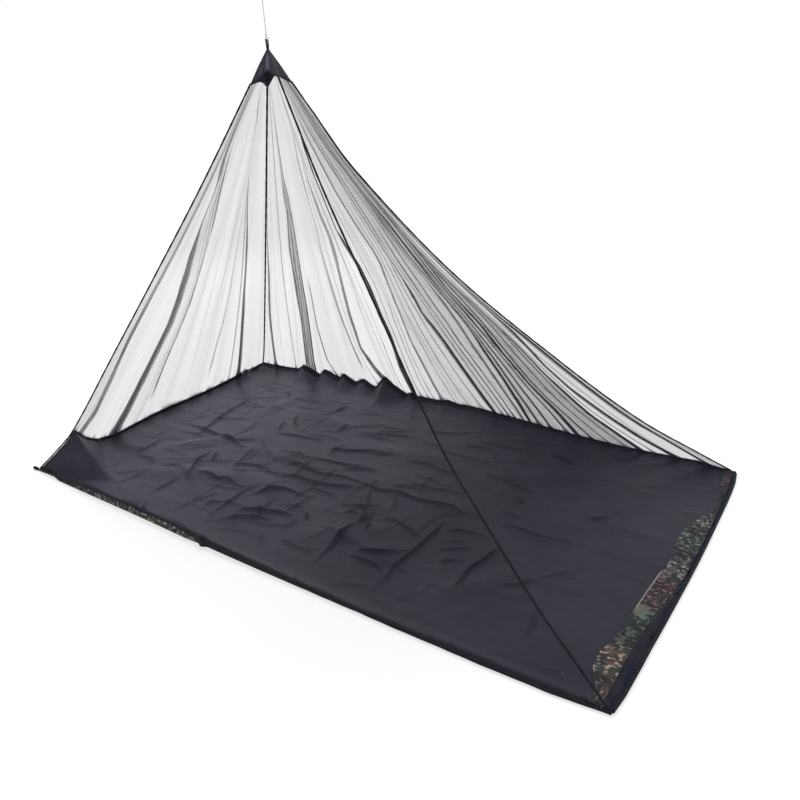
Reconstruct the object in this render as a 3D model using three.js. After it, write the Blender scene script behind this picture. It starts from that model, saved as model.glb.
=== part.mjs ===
// Mosquito net tent for one sleeper: a coated groundsheet with a net pyramid sewn to its edges.
// The net hangs from a cloth cap with a webbing loop, and a thin cord holds the loop up.
// Millimetres, +Z up. The shapes are worked out from ground level at the middle of the groundsheet,
// and the whole tent is then placed with the hanging point at the origin.
import * as THREE from 'three';

// Driving sizes
const LENGTH = 2200;                 // groundsheet, head end to foot end, along X
const WIDTH = 1200;                  // groundsheet, front to back, along Y
const PEAK = new THREE.Vector3(-253, 0, 1377);   // tip of the cap, nearer the head end
const GAP = 0.4;                     // clearance between neighbouring pieces

// Cloth and trim
const SHEET_THICKNESS = 2;           // groundsheet
const NET_THICKNESS = 1.2;           // net panels
const BINDING_RADIUS = 4;            // rolled edge binding
const SEAM_RADIUS = 3.5;             // seam roll along each corner of the pyramid
const SEAM_STOP = { frontHead: 12, frontFoot: 13, backFoot: 24, backHead: 12 };  // to the corner
const TRIM_SIDES = 6;

// Cap, loop and cord
const CAP_SLANT = { frontHead: 112, frontFoot: 80, backFoot: 92, backHead: 132 };  // tip to points
const CAP_SIDES = [                  // sides of the cap, and how far each hem rises between its points
  { left: 'frontHead', right: 'frontFoot', arch: 30 },
  { left: 'frontFoot', right: 'backFoot', arch: 11 },
  { left: 'backHead', right: 'backFoot', arch: 30 },
  { left: 'frontHead', right: 'backHead', arch: 14 },
];
const CAP_TUCK = 7;                  // how far each side of the cap is drawn in at its hem
const CAP_BULGE = 8;                 // how far its shoulders stand out
const CAP_THICKNESS = 2;
const CAP_TOP = 0.05;                // share of the slant that is cut off flat under the loop
const CAP_OUTSIDE = [CAP_TOP, 0.16, 0.33, 0.6, 1];   // shares of the slant where its cloth is bent
const CAP_INSIDE = [1, 0.6, 0.33, 0.2];
const HEM_STEPS = 6;                 // straight stretches in each arch of the hem
const LOOP = { width: 9, height: 25, tape: 6, thickness: 1.5 };
const CORD_RADIUS = 1.3;
const CORD_TIE = { radius: 6.4, flatten: 0.7, lift: 0.9 };
const CORD_LENGTH = 100;
const KNOT_RADIUS = 3.4;
const EYE_RADIUS = 14;               // tied loop at the top of the cord

// Peg loop at the front corner of the head end
const PEG_LOOP = { width: 10, height: 32, tape: 9, thickness: 1.8 };
const LOOP_SEAT = 0.6;               // share of a loop's width where it is sewn down
const LOOP_SPREAD = 0.45;            // share of its height over which it widens

// The black band outside the foot end, and the groundsheet turned back on itself inside it
const BAND_THICKNESS = 2.5;
const BAND_EDGE = 1.3;               // where its rolled edge leaves the flat cloth, in binding radii
const TURN_RADIUS = 1.6;
const TURN_ANGLES = [-45, 0, 45];
const TURN_STRETCHES = [0, 0.35, 0.7, 1];

// Edges of the groundsheet, a row for each pleat crest or hollow of the net that pulls on them:
// at, share along the edge; inward and lift, how far the edge leaves its straight ground line;
// top, share along the cap's hem where that pleat starts; pleat, how far it stands out or in.
// The foot end also has the widths of its band and of the turned-back groundsheet.
const EDGES = {
  front: [
    { at: 0, inward: 0, lift: 0, top: 0, pleat: 0 },
    { at: 0.07, inward: -4, lift: 6, top: 0.1, pleat: 7 },
    { at: 0.13, inward: -6, lift: 10, top: 0.17, pleat: -5 },
    { at: 0.18, inward: -7, lift: 14, top: 0.23, pleat: 12 },
    { at: 0.235, inward: -8, lift: 13, top: 0.29, pleat: -4 },
    { at: 0.285, inward: -9, lift: 15, top: 0.34, pleat: 6 },
    { at: 0.348, inward: -12, lift: 16, top: 0.39, pleat: 12 },
    { at: 0.4, inward: -15, lift: 13, top: 0.44, pleat: -6 },
    { at: 0.47, inward: -17, lift: 15, top: 0.5, pleat: 14 },
    { at: 0.54, inward: -18, lift: 11, top: 0.57, pleat: -6 },
    { at: 0.6, inward: -18, lift: 8, top: 0.63, pleat: 10 },
    { at: 0.67, inward: -18, lift: 5, top: 0.69, pleat: -5 },
    { at: 0.74, inward: -18, lift: 5, top: 0.75, pleat: 13 },
    { at: 0.81, inward: -17, lift: 3, top: 0.81, pleat: -5 },
    { at: 0.87, inward: -16, lift: 3, top: 0.87, pleat: 11 },
    { at: 0.94, inward: -12, lift: 1, top: 0.93, pleat: -4 },
    { at: 1, inward: 0, lift: 0, top: 1, pleat: 0 },
  ],
  back: [
    { at: 0, inward: 0, lift: 26, top: 0, pleat: 0 },
    { at: 0.07, inward: 0, lift: 34, top: 0.08, pleat: -6 },
    { at: 0.13, inward: 4, lift: 54, top: 0.15, pleat: 15 },
    { at: 0.18, inward: 2, lift: 38, top: 0.21, pleat: -5 },
    { at: 0.235, inward: 6, lift: 58, top: 0.27, pleat: 9 },
    { at: 0.285, inward: 4, lift: 42, top: 0.33, pleat: -6 },
    { at: 0.348, inward: 12, lift: 88, top: 0.4, pleat: 16 },
    { at: 0.4, inward: 4, lift: 33, top: 0.46, pleat: -5 },
    { at: 0.47, inward: 0, lift: 28, top: 0.52, pleat: 10 },
    { at: 0.54, inward: 0, lift: 33, top: 0.58, pleat: -5 },
    { at: 0.6, inward: 0, lift: 26, top: 0.65, pleat: 13 },
    { at: 0.67, inward: 0, lift: 17, top: 0.71, pleat: -5 },
    { at: 0.74, inward: 0, lift: 8, top: 0.77, pleat: 10 },
    { at: 0.81, inward: 0, lift: 3, top: 0.83, pleat: -6 },
    { at: 0.87, inward: 0, lift: 4, top: 0.88, pleat: 13 },
    { at: 0.94, inward: 0, lift: 10, top: 0.94, pleat: -4 },
    { at: 1, inward: 0, lift: 0, top: 1, pleat: 0 },
  ],
  head: [
    { at: 0.14, inward: 76, lift: 76, top: 0.13, pleat: 8 },
    { at: 0.2, inward: 22, lift: 24, top: 0.21, pleat: -6 },
    { at: 0.28, inward: 4, lift: 2, top: 0.29, pleat: 15 },
    { at: 0.36, inward: 0, lift: 8, top: 0.37, pleat: -7 },
    { at: 0.44, inward: 0, lift: 14, top: 0.44, pleat: 8 },
    { at: 0.52, inward: 2, lift: 16, top: 0.51, pleat: -5 },
    { at: 0.6, inward: 0, lift: 13, top: 0.58, pleat: 11 },
    { at: 0.68, inward: 0, lift: 12, top: 0.65, pleat: -5 },
    { at: 0.76, inward: 1, lift: 15, top: 0.72, pleat: 8 },
    { at: 0.83, inward: 3, lift: 20, top: 0.79, pleat: -5 },
    { at: 0.89, inward: 8, lift: 30, top: 0.86, pleat: 11 },
    { at: 0.94, inward: 2, lift: 22, top: 0.93, pleat: -4 },
    { at: 1, inward: 0, lift: 26, top: 1, pleat: 0 },
  ],
  foot: [
    { at: 0, inward: 0, lift: 0, top: 0, pleat: 0, band: 29, turned: 28 },
    { at: 0.05, inward: -6, lift: 0, top: 0.07, pleat: -5, band: 32, turned: 32 },
    { at: 0.14, inward: -9, lift: 0, top: 0.15, pleat: 12, band: 35, turned: 62 },
    { at: 0.2, inward: -10, lift: 0, top: 0.21, pleat: -5, band: 34, turned: 47 },
    { at: 0.28, inward: -13, lift: 0, top: 0.29, pleat: 9, band: 32, turned: 48 },
    { at: 0.36, inward: -15, lift: 0, top: 0.37, pleat: 15, band: 22, turned: 56 },
    { at: 0.44, inward: -17, lift: 0, top: 0.45, pleat: -6, band: 12, turned: 62 },
    { at: 0.52, inward: -18, lift: 0, top: 0.53, pleat: 11, band: 12, turned: 56 },
    { at: 0.6, inward: -18, lift: 0, top: 0.6, pleat: -5, band: 11, turned: 66 },
    { at: 0.68, inward: -17, lift: 0, top: 0.67, pleat: 15, band: 11, turned: 50 },
    { at: 0.76, inward: -16, lift: 0, top: 0.74, pleat: -5, band: 11, turned: 16 },
    { at: 0.83, inward: -15, lift: 0, top: 0.81, pleat: 9, band: 12, turned: 10 },
    { at: 0.89, inward: -13, lift: 0, top: 0.87, pleat: -5, band: 13, turned: 20 },
    { at: 0.94, inward: -10, lift: 0, top: 0.93, pleat: 10, band: 14, turned: 24 },
    { at: 1, inward: 0, lift: 0, top: 1, pleat: 0, band: 14, turned: 24 },
  ],
};

// How far each corner seam hangs below a straight line from the tip of the cap to its ground corner
const SEAM_DROP = {
  frontHead: [
    { at: 0, drop: 2 }, { at: 0.25, drop: 39 }, { at: 0.46, drop: 52 },
    { at: 0.64, drop: 59 }, { at: 0.84, drop: 66 }, { at: 0.92, drop: 38 }, { at: 1, drop: 0 },
  ],
  frontFoot: [
    { at: 0, drop: 8 }, { at: 0.1, drop: 66 }, { at: 0.2, drop: 116 }, { at: 0.34, drop: 148 },
    { at: 0.48, drop: 178 }, { at: 0.6, drop: 191 }, { at: 0.68, drop: 164 }, { at: 0.76, drop: 134 },
    { at: 0.85, drop: 94 }, { at: 0.92, drop: 50 }, { at: 1, drop: 0 },
  ],
  backFoot: [
    { at: 0, drop: 0 }, { at: 0.08, drop: 70 }, { at: 0.16, drop: 134 }, { at: 0.36, drop: 185 },
    { at: 0.6, drop: 160 }, { at: 0.78, drop: 115 }, { at: 0.92, drop: 44 }, { at: 1, drop: 0 },
  ],
  backHead: [
    { at: 0, drop: 2 }, { at: 0.3, drop: 17 }, { at: 0.65, drop: 28 }, { at: 0.9, drop: 26 },
    { at: 1, drop: 0 },
  ],
};

// Shares of a seam, from the cap to the ground, at which its straight stretches meet. The groundsheet
// climbs the front head seam up to the share called CREST.
const CREST = 0.83;
const SEAM_STATIONS = [
  0, 0.06, 0.13, 0.2, 0.28, 0.36, 0.44, 0.52, 0.6, 0.68, 0.76, CREST, 0.89, 0.945, 1,
];
const SWELL = { lean: 0.8, fade: 0.25 };   // how a pleat's depth rises below the cap and fades again

// Main creases of the groundsheet: middle, half length, direction from +X, half width and height
const CREASES = [
  { x: -560, y: -330, half: 300, turn: 24, wide: 60, high: 15 },
  { x: -700, y: -120, half: 260, turn: 48, wide: 56, high: 12 },
  { x: -330, y: -60, half: 330, turn: 8, wide: 52, high: 13 },
  { x: -220, y: -250, half: 280, turn: -12, wide: 56, high: 14 },
  { x: 40, y: -120, half: 340, turn: -20, wide: 54, high: 12 },
  { x: 200, y: -330, half: 230, turn: 34, wide: 60, high: 13 },
  { x: -690, y: 300, half: 210, turn: 82, wide: 50, high: 11 },
  { x: -380, y: 260, half: 280, turn: -6, wide: 56, high: 12 },
  { x: 60, y: 180, half: 300, turn: 12, wide: 60, high: 10 },
  { x: 430, y: -60, half: 260, turn: -30, wide: 62, high: 9 },
  { x: 500, y: 260, half: 280, turn: 10, wide: 66, high: 8 },
  { x: 640, y: -360, half: 180, turn: 58, wide: 56, high: 10 },
];
const CREASE_MARGIN = { ends: 7, sides: 6 };  // creases die out in the last share 1/ends or 1/sides
const GRID_STEP = { along: 0.04, across: 0.06 };
const RIM_SHARES = { ends: [0.007, 0.022], sides: [0.012, 0.035] };
const WALL = { from: 2, over: 6, foot: 1.2 };  // lift at which the front edge stands on a wall of sheet
const BLEND = 0.07;            // share of the length or width over which the cloth follows an end's shape
const RIM_REACH = 24;          // width of the rise up to a binding that lies on the ground
const LIFT_REACH = 1.5;        // extra width for each millimetre of lift
const CLIMB_HEIGHT = 30;       // above this the cloth hangs down from its edge
const CLIMB_INSET = 0.5;       // share of the sideways inset that is left there
const CLIMB_DROP = 2;          // how far it hangs there below its edge line, in insets

// Helpers for tables and curves
const UP = new THREE.Vector3(0, 0, 1);
const vec = (x, y, z) => new THREE.Vector3(x, y, z);
const mix = (a, b, t) => a + (b - a) * t;
const smooth = (t) => t * t * (3 - 2 * t);
const clamp01 = (t) => Math.min(1, Math.max(0, t));
const range = (count, pick) => Array.from({ length: count }, (_, i) => pick(i));

// The pair of rows round a place in a table, and how far the place lies from the first to the second.
function between(rows, at) {
  const next = Math.min(rows.length - 1, Math.max(1, rows.findIndex((row) => row.at >= at)));
  const span = rows[next].at - rows[next - 1].at;
  return { next, span, t: clamp01((at - rows[next - 1].at) / span) };
}

// Value of a column where the cloth runs straight from row to row.
function column(rows, name, at) {
  if (at >= rows.at(-1).at) return rows.at(-1)[name];
  const { next, t } = between(rows, at);
  return mix(rows[next - 1][name], rows[next][name], t);
}

// Value of a column of a hanging line, where the slope runs on through each row.
function curvedColumn(rows, name, at) {
  const { next, span, t } = between(rows, at);
  const slope = (i) => {
    const [a, b] = [rows[Math.max(0, i - 1)], rows[Math.min(rows.length - 1, i + 1)]];
    return (b[name] - a[name]) / (b.at - a.at);
  };
  const [t2, t3] = [t * t, t * t * t];
  return (2 * t3 - 3 * t2 + 1) * rows[next - 1][name] + (t3 - 2 * t2 + t) * span * slope(next - 1)
    + (3 * t2 - 2 * t3) * rows[next][name] + (t3 - t2) * span * slope(next);
}

// Ground corners on the middle line of the binding, and the four seams from the cap down to them
const HALF_X = LENGTH / 2 - BINDING_RADIUS;
const HALF_Y = WIDTH / 2 - BINDING_RADIUS;
const CORNERS = {
  frontHead: vec(-HALF_X, -HALF_Y, BINDING_RADIUS + EDGES.front[0].lift),
  frontFoot: vec(HALF_X, -HALF_Y, BINDING_RADIUS + EDGES.front.at(-1).lift),
  backFoot: vec(HALF_X, HALF_Y, BINDING_RADIUS + EDGES.back.at(-1).lift),
  backHead: vec(-HALF_X, HALF_Y, BINDING_RADIUS + EDGES.back[0].lift),
};
const seamLength = (corner) => PEAK.distanceTo(CORNERS[corner]);

function hangingPoint(corner, at) {
  const point = PEAK.clone().lerp(CORNERS[corner], at);
  point.z -= curvedColumn(SEAM_DROP[corner], 'drop', at);
  return point;
}

// Point of a seam, s from the cap to the ground, on the straight stretches between its stations.
function seamPoint(corner, s) {
  const rows = SEAM_STATIONS.map((at) => ({ at }));
  const { next, t } = between(rows, s);
  const cap = CAP_SLANT[corner] / seamLength(corner);
  const place = (i) => hangingPoint(corner, mix(cap, 1, SEAM_STATIONS[i]));
  return place(next - 1).lerp(place(next), t);
}

// Edge lines of the groundsheet, each on the middle line of its binding
const EDGE_ENDS = {
  front: ['frontHead', 'frontFoot', vec(0, 1, 0)],
  back: ['backHead', 'backFoot', vec(0, -1, 0)],
  head: ['frontHead', 'backHead', vec(1, 0, 0)],
  foot: ['frontFoot', 'backFoot', vec(-1, 0, 0)],
};
const crestEnd = seamPoint('frontHead', CREST);
const CREST_AT = (crestEnd.y + HALF_Y) / (2 * HALF_Y);
EDGES.head.unshift({
  at: CREST_AT, inward: crestEnd.x + HALF_X, lift: crestEnd.z - BINDING_RADIUS, top: 0, pleat: 0,
});

function edgePoint(edge, at) {
  if (edge === 'head' && at < CREST_AT) return seamPoint('frontHead', 1 - (1 - CREST) * at / CREST_AT);
  const [from, to, inward] = EDGE_ENDS[edge];
  const point = CORNERS[from].clone().lerp(CORNERS[to], at);
  point.addScaledVector(inward, column(EDGES[edge], 'inward', at));
  point.z = BINDING_RADIUS + column(EDGES[edge], 'lift', at);
  return point;
}

// Solids
function solid(positions, index) {
  const geometry = new THREE.BufferGeometry();
  geometry.setAttribute('position', new THREE.Float32BufferAttribute(positions, 3));
  geometry.setIndex(index);
  geometry.computeVertexNormals();
  return geometry;
}

// A sheet from a grid of points on its middle surface: two faces and a rim round them.
function sheet(grid, thickness) {
  const rows = grid.length;
  const cols = grid[0].length;
  const positions = [];
  const face = (sign) => grid.forEach((row, i) => row.forEach((point, j) => {
    const down = grid[Math.min(rows - 1, i + 1)][j].clone().sub(grid[Math.max(0, i - 1)][j]);
    const across = row[Math.min(cols - 1, j + 1)].clone().sub(row[Math.max(0, j - 1)]);
    const normal = across.cross(down).normalize();
    positions.push(...point.clone().addScaledVector(normal, sign * thickness / 2));
  }));
  face(1);
  face(-1);
  const index = [];
  const quad = (a, b, c, d) => index.push(a, b, c, a, c, d);
  const top = (i, j) => i * cols + j;
  const under = (i, j) => rows * cols + top(i, j);
  for (let i = 0; i < rows - 1; i += 1) {
    for (let j = 0; j < cols - 1; j += 1) {
      quad(top(i, j), top(i, j + 1), top(i + 1, j + 1), top(i + 1, j));
      quad(under(i, j), under(i + 1, j), under(i + 1, j + 1), under(i, j + 1));
    }
    quad(top(i, 0), top(i + 1, 0), under(i + 1, 0), under(i, 0));
    quad(top(i + 1, cols - 1), top(i, cols - 1), under(i, cols - 1), under(i + 1, cols - 1));
  }
  for (let j = 0; j < cols - 1; j += 1) {
    quad(top(0, j + 1), top(0, j), under(0, j), under(0, j + 1));
    quad(top(rows - 1, j), top(rows - 1, j + 1), under(rows - 1, j + 1), under(rows - 1, j));
  }
  return solid(positions, index);
}

// A solid lofted through rings with the same number of points. Each end is closed by a fan from its
// ring's first point, or from the middle of the ring where it is a star.
function loft(rings, starEnds = false) {
  const count = rings[0].length;
  const positions = rings.flatMap((ring) => ring.flatMap((point) => [...point]));
  const index = [];
  for (let r = 0; r < rings.length - 1; r += 1) {
    for (let k = 0; k < count; k += 1) {
      const [a, b] = [r * count + k, r * count + (k + 1) % count];
      index.push(a, b, b + count, a, b + count, a + count);
    }
  }
  const last = (rings.length - 1) * count;
  if (!starEnds) {
    for (let k = 1; k < count - 1; k += 1) {
      index.push(0, k + 1, k, last, last + k, last + k + 1);
    }
    return solid(positions, index);
  }
  for (const ring of [rings[0], rings.at(-1)]) {
    const middle = ring.reduce((sum, point) => sum.add(point), vec(0, 0, 0)).divideScalar(count);
    positions.push(...middle);
  }
  const hub = rings.length * count;
  for (let k = 0; k < count; k += 1) {
    const next = (k + 1) % count;
    index.push(hub, next, k, hub + 1, last + k, last + next);
  }
  return solid(positions, index);
}

// A roll of cloth along a line of straight stretches.
function roll(points, radius) {
  const last = points.length - 1;
  return loft(points.map((point, i) => {
    const ahead = points[Math.min(last, i + 1)].clone().sub(points[Math.max(0, i - 1)]).normalize();
    const aside = UP.clone().cross(ahead).normalize();
    const above = ahead.clone().cross(aside);
    return range(TRIM_SIDES, (k) => {
      const angle = (2 * Math.PI * k) / TRIM_SIDES;
      return point.clone().addScaledVector(aside, radius * Math.cos(angle))
        .addScaledVector(above, radius * Math.sin(angle));
    });
  }));
}

// Groundsheet: a coated sheet with lifted edges, and its foot end turned back on itself
const SHEET_LOW = SHEET_THICKNESS / 2;
const SHEET_RIM = 0.9;         // how far its middle surface stops inside its rim, in half thicknesses

function rise(edge, at, distance) {
  const height = edgePoint(edge, at).z - SHEET_LOW;
  const reach = RIM_REACH + LIFT_REACH * (height - BINDING_RADIUS);
  return height * clamp01(1 - distance / reach) ** 2;
}

// How much of a wall, from 0 to 1, the front edge stands on.
function wallShare(at) {
  return smooth(clamp01((column(EDGES.front, 'lift', at) - WALL.from) / WALL.over));
}

function creaseHeight(x, y) {
  return CREASES.reduce((sum, crease) => {
    const turn = THREE.MathUtils.degToRad(crease.turn);
    const [dx, dy] = [x - crease.x, y - crease.y];
    const ahead = (dx * Math.cos(turn) + dy * Math.sin(turn)) / crease.half;
    const aside = (dy * Math.cos(turn) - dx * Math.sin(turn)) / crease.wide;
    const inside = Math.max(0, 1 - ahead * ahead) * Math.max(0, 1 - aside * aside);
    return sum + crease.high * inside * inside;
  }, 0);
}

const creaseShare = (u, v) => [
  [u, CREASE_MARGIN.ends], [1 - u, CREASE_MARGIN.ends], [v, CREASE_MARGIN.sides],
  [1 - v, CREASE_MARGIN.sides],
].reduce((share, [inside, steep]) => share * smooth(clamp01(steep * inside)), 1);

const footWidth = (name, at) => column(EDGES.foot, name, at);
const outerX = (at) => edgePoint('foot', at).x + BINDING_RADIUS;
const turnX = (at) => outerX(at) - footWidth('band', at) - GAP - TURN_RADIUS - SHEET_LOW;

// Middle surface of the part that lies down, u from head to foot and v from front to back.
const SHEET_INSET = BINDING_RADIUS + GAP + SHEET_RIM * SHEET_LOW;
const SIDE_SHARE = SHEET_INSET / (2 * HALF_Y);

function groundPoint(u, v) {
  const inset = SHEET_INSET;
  const [head, turn] = [edgePoint('head', v), turnX(v)];
  const climb = smooth(clamp01((head.z - BINDING_RADIUS) / CLIMB_HEIGHT));
  const headX = head.x + inset * mix(1, CLIMB_INSET, climb);
  const x = mix(-HALF_X, HALF_X, u) + clamp01(1 - u / BLEND) * (headX + HALF_X)
    + clamp01(1 - (1 - u) / BLEND) * (turn - HALF_X);
  const along = (x + HALF_X) / (2 * HALF_X);
  const [front, back] = [edgePoint('front', along), edgePoint('back', along)];
  const y = mix(-HALF_Y, HALF_Y, v) + clamp01(1 - (v - SIDE_SHARE) / BLEND) * (front.y + HALF_Y)
    + clamp01(1 - (1 - SIDE_SHARE - v) / BLEND) * (back.y - HALF_Y);
  const fromHead = x - headX;
  const fromFront = y - front.y - inset;
  const fromBack = back.y - inset - y;
  const wall = wallShare(along);
  const lifted = rise('head', v, fromHead) + (1 - wall) * rise('front', along, fromFront)
    + rise('back', along, fromBack);
  const share = (edge, at, distance) => rise(edge, at, distance) / rise(edge, at, 0);
  const counted = rise('back', 0, 0) * share('head', 1, fromHead) * share('back', 0, fromBack)
    + rise('front', 0, 0) * share('head', 0, fromHead) * share('front', 0, fromFront);
  const hung = u === 0 ? CLIMB_DROP * inset * Math.sqrt(climb) : 0;
  const height = Math.max(0, lifted - counted) + creaseHeight(x, y) * creaseShare(u, v);
  if (v === SIDE_SHARE && wall > 0) {
    const turn = -wall * Math.PI / 2;
    return vec(x, front.y + inset * Math.cos(turn), front.z + inset * Math.sin(turn));
  }
  if (v === RIM_SHARES.sides[0]) {
    return vec(x, mix(y, front.y - WALL.foot, wall), mix(SHEET_LOW + height - hung, SHEET_LOW, wall));
  }
  return vec(x, y, SHEET_LOW + height - hung);
}

// All shares that two edges need, the rims' own, and more where those lie far apart.
function gridShares(edges, rims, step, end) {
  const needed = [end, ...edges.flatMap((edge) => EDGES[edge].map((row) => row.at)), ...rims,
    ...rims.map((share) => 1 - share), 1 - end]
    .filter((at) => at >= end && at <= 1 - end)
    .sort((a, b) => a - b)
    .filter((at, i, all) => at !== all[i - 1]);
  return needed.flatMap((at, i) => {
    if (i === needed.length - 1) return [at];
    const parts = Math.max(1, Math.round((needed[i + 1] - at) / step));
    return range(parts, (k) => mix(at, needed[i + 1], k / parts));
  });
}

function groundsheet() {
  const us = gridShares(['front', 'back'], RIM_SHARES.ends, GRID_STEP.along, 0);
  const vs = gridShares(['head', 'foot'], RIM_SHARES.sides, GRID_STEP.across, SIDE_SHARE);
  return sheet(vs.map((v) => {
    const flat = us.map((u) => groundPoint(u, v));
    const edge = flat.at(-1);
    const bend = TURN_ANGLES.map((angle) => {
      const turn = THREE.MathUtils.degToRad(angle);
      return edge.clone().add(vec(TURN_RADIUS * Math.cos(turn), 0, TURN_RADIUS * (1 + Math.sin(turn))));
    });
    const turned = TURN_STRETCHES.map((share) => {
      const x = edge.x - share * footWidth('turned', v);
      return vec(x, edge.y, edge.z + 2 * TURN_RADIUS);
    });
    return [...flat, ...bend, ...turned];
  }), SHEET_THICKNESS);
}

// Net panels: each is stretched between two seams, the cap and the floor edge, with pleats that fan out
const PANELS = {
  net_front: { left: 'frontHead', right: 'frontFoot', edge: 'front', from: 0, leftEnd: 1 },
  net_foot_end: { left: 'frontFoot', right: 'backFoot', edge: 'foot', from: 0, leftEnd: 1 },
  net_back: { left: 'backHead', right: 'backFoot', edge: 'back', from: 0, leftEnd: 1 },
  net_head_end: { left: 'frontHead', right: 'backHead', edge: 'head', from: CREST_AT, leftEnd: CREST },
};

// The cap's hem between two of its points, arched up and drawn in, in straight stretches.
function hemPoint(left, right, t) {
  const [a, b] = [seamPoint(left, 0), seamPoint(right, 0)];
  const side = CAP_SIDES.find((row) => row.left === left && row.right === right);
  const place = (share) => {
    const arch = 4 * share * (1 - share);
    const point = a.clone().lerp(b, share);
    const up = PEAK.clone().sub(point).normalize();
    const inward = vec(PEAK.x - point.x, PEAK.y - point.y, 0).normalize();
    return point.addScaledVector(up, side.arch * arch).addScaledVector(inward, CAP_TUCK * arch);
  };
  const stretch = Math.min(HEM_STEPS - 1, Math.floor(t * HEM_STEPS));
  return place(stretch / HEM_STEPS).lerp(place((stretch + 1) / HEM_STEPS), t * HEM_STEPS - stretch);
}

// Point of the smooth panel, s from cap to floor and t from its left seam to its right one.
function panelPoint(panel, s, t) {
  const { left, right, edge, from, leftEnd } = panel;
  return vec(0, 0, 0)
    .addScaledVector(seamPoint(left, leftEnd * s), 1 - t)
    .addScaledVector(seamPoint(right, s), t)
    .addScaledVector(hemPoint(left, right, t), 1 - s)
    .addScaledVector(edgePoint(edge, mix(from, 1, t)), s)
    .addScaledVector(seamPoint(left, 0), -(1 - s) * (1 - t))
    .addScaledVector(seamPoint(right, 0), -(1 - s) * t)
    .addScaledVector(edgePoint(edge, from), -s * (1 - t))
    .addScaledVector(edgePoint(edge, 1), -s * t);
}

const STEP = 2e-3;             // for slopes by difference
const slopeS = (panel, s, t) => panelPoint(panel, s + STEP, t).sub(panelPoint(panel, s - STEP, t))
  .divideScalar(2 * STEP);
const slopeT = (panel, s, t) => panelPoint(panel, s, t + STEP).sub(panelPoint(panel, s, t - STEP))
  .divideScalar(2 * STEP);

// Share of a panel's width or height that keeps its edge clear of the line it runs beside.
function insetShare(crossing, line, distance) {
  const sine = crossing.clone().normalize().cross(line.clone().normalize()).length();
  return distance / (crossing.length() * sine);
}

function netPanel(name) {
  const panel = PANELS[name];
  const { edge, from, leftEnd } = panel;
  const stops = EDGES[edge].map((row) => ({ ...row, foot: (row.at - from) / (1 - from) }));
  const rows = SEAM_STATIONS.filter((at) => at <= leftEnd).map((at) => at / leftEnd);
  const inner = 2 * STEP;
  return sheet(rows.map((row) => stops.map((stop) => {
    const t = mix(stop.top, stop.foot, row);
    const tIn = Math.min(1 - inner, Math.max(inner, t));
    let s = row;
    if (row === 0) s = insetShare(slopeS(panel, inner, tIn), slopeT(panel, inner, tIn), 3 * GAP);
    if (row === 1) {
      s = 1 - insetShare(slopeS(panel, 1 - inner, tIn), slopeT(panel, 1 - inner, tIn),
        BINDING_RADIUS + 3 * GAP);
    }
    const clear = SEAM_RADIUS + 2 * GAP;
    const leftIn = insetShare(slopeT(panel, s, inner), slopeS(panel, s, 0), clear);
    const rightIn = insetShare(slopeT(panel, s, 1 - inner), slopeS(panel, s, 1), clear);
    const place = Math.min(1 - rightIn, Math.max(leftIn, t));
    const normal = slopeT(panel, s, place).cross(slopeS(panel, s, place)).normalize();
    const swell = Math.sin(Math.PI * row ** SWELL.lean) * (1 - SWELL.fade * row);
    return panelPoint(panel, s, place).addScaledVector(normal, stop.pleat * swell);
  })), NET_THICKNESS);
}

// Seam rolls, bindings and the foot band
function seamRoll(corner) {
  const length = seamLength(corner);
  const [start, end] = [2 * GAP / length, 1 - SEAM_STOP[corner] / length];
  return roll([start, ...SEAM_STATIONS.slice(1, -1), end].map((s) => seamPoint(corner, s)), SEAM_RADIUS);
}

function edgeBinding(edge, from = 0, to = 1) {
  const shares = EDGES[edge].map((row) => row.at).filter((at) => at > from && at < to);
  return roll([from, ...shares, to].map((at) => edgePoint(edge, at)), BINDING_RADIUS);
}

// Flat strip with a rolled outer edge, which the foot end panel is sewn to.
function footBand() {
  const clearance = (BINDING_RADIUS + 2 * GAP) / (2 * HALF_Y);
  const shares = EDGES.foot.map((row) => row.at).slice(1, -1);
  const bead = [[-3.6, 1.5], [-1.5, 3.7], [1.5, 3.7], [3.7, 1.5], [3.7, -1.5], [2.5, -4]];
  const flatTop = BAND_THICKNESS - BINDING_RADIUS;
  return loft([clearance, ...shares, 1 - clearance].map((at) => {
    const { x, y, z } = edgePoint('foot', at);
    const inner = BINDING_RADIUS - footWidth('band', at);
    const section = [
      [-BAND_EDGE * BINDING_RADIUS, flatTop], ...bead, [inner, -BINDING_RADIUS], [inner, flatTop],
    ];
    return section.map(([aside, above]) => vec(x + aside, y, z + above));
  }));
}

// Cap: a small cloth pyramid with an arched hem, hollow and open underneath
function peakCap() {
  const shares = range(HEM_STEPS, (i) => i / HEM_STEPS);
  const [front, foot, back, head] = CAP_SIDES;
  const along = (side) => shares.map((share) => hemPoint(side.left, side.right, share));
  const backwards = (side) => shares.map((share) => hemPoint(side.left, side.right, 1 - share));
  const hem = [...along(front), ...along(foot), ...backwards(back), ...backwards(head)].reverse();
  const outward = (point) => vec(point.x - PEAK.x, point.y - PEAK.y, 0).normalize();
  const swell = (share) => CAP_BULGE * (27 / 4) * share * (1 - share) ** 2;   // fullest at a third
  const ring = (share, inset, lower) => hem.map((point) => PEAK.clone().lerp(point, share)
    .addScaledVector(outward(point), swell(share) - inset)
    .addScaledVector(UP, -lower));
  const lowered = CAP_INSIDE.map((share, i) => CAP_THICKNESS * i / (CAP_INSIDE.length - 1));
  return loft([
    ...CAP_OUTSIDE.map((share) => ring(share, 0, 0)),
    ...CAP_INSIDE.map((share, i) => ring(share, CAP_THICKNESS, lowered[i])),
  ], true);
}

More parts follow.
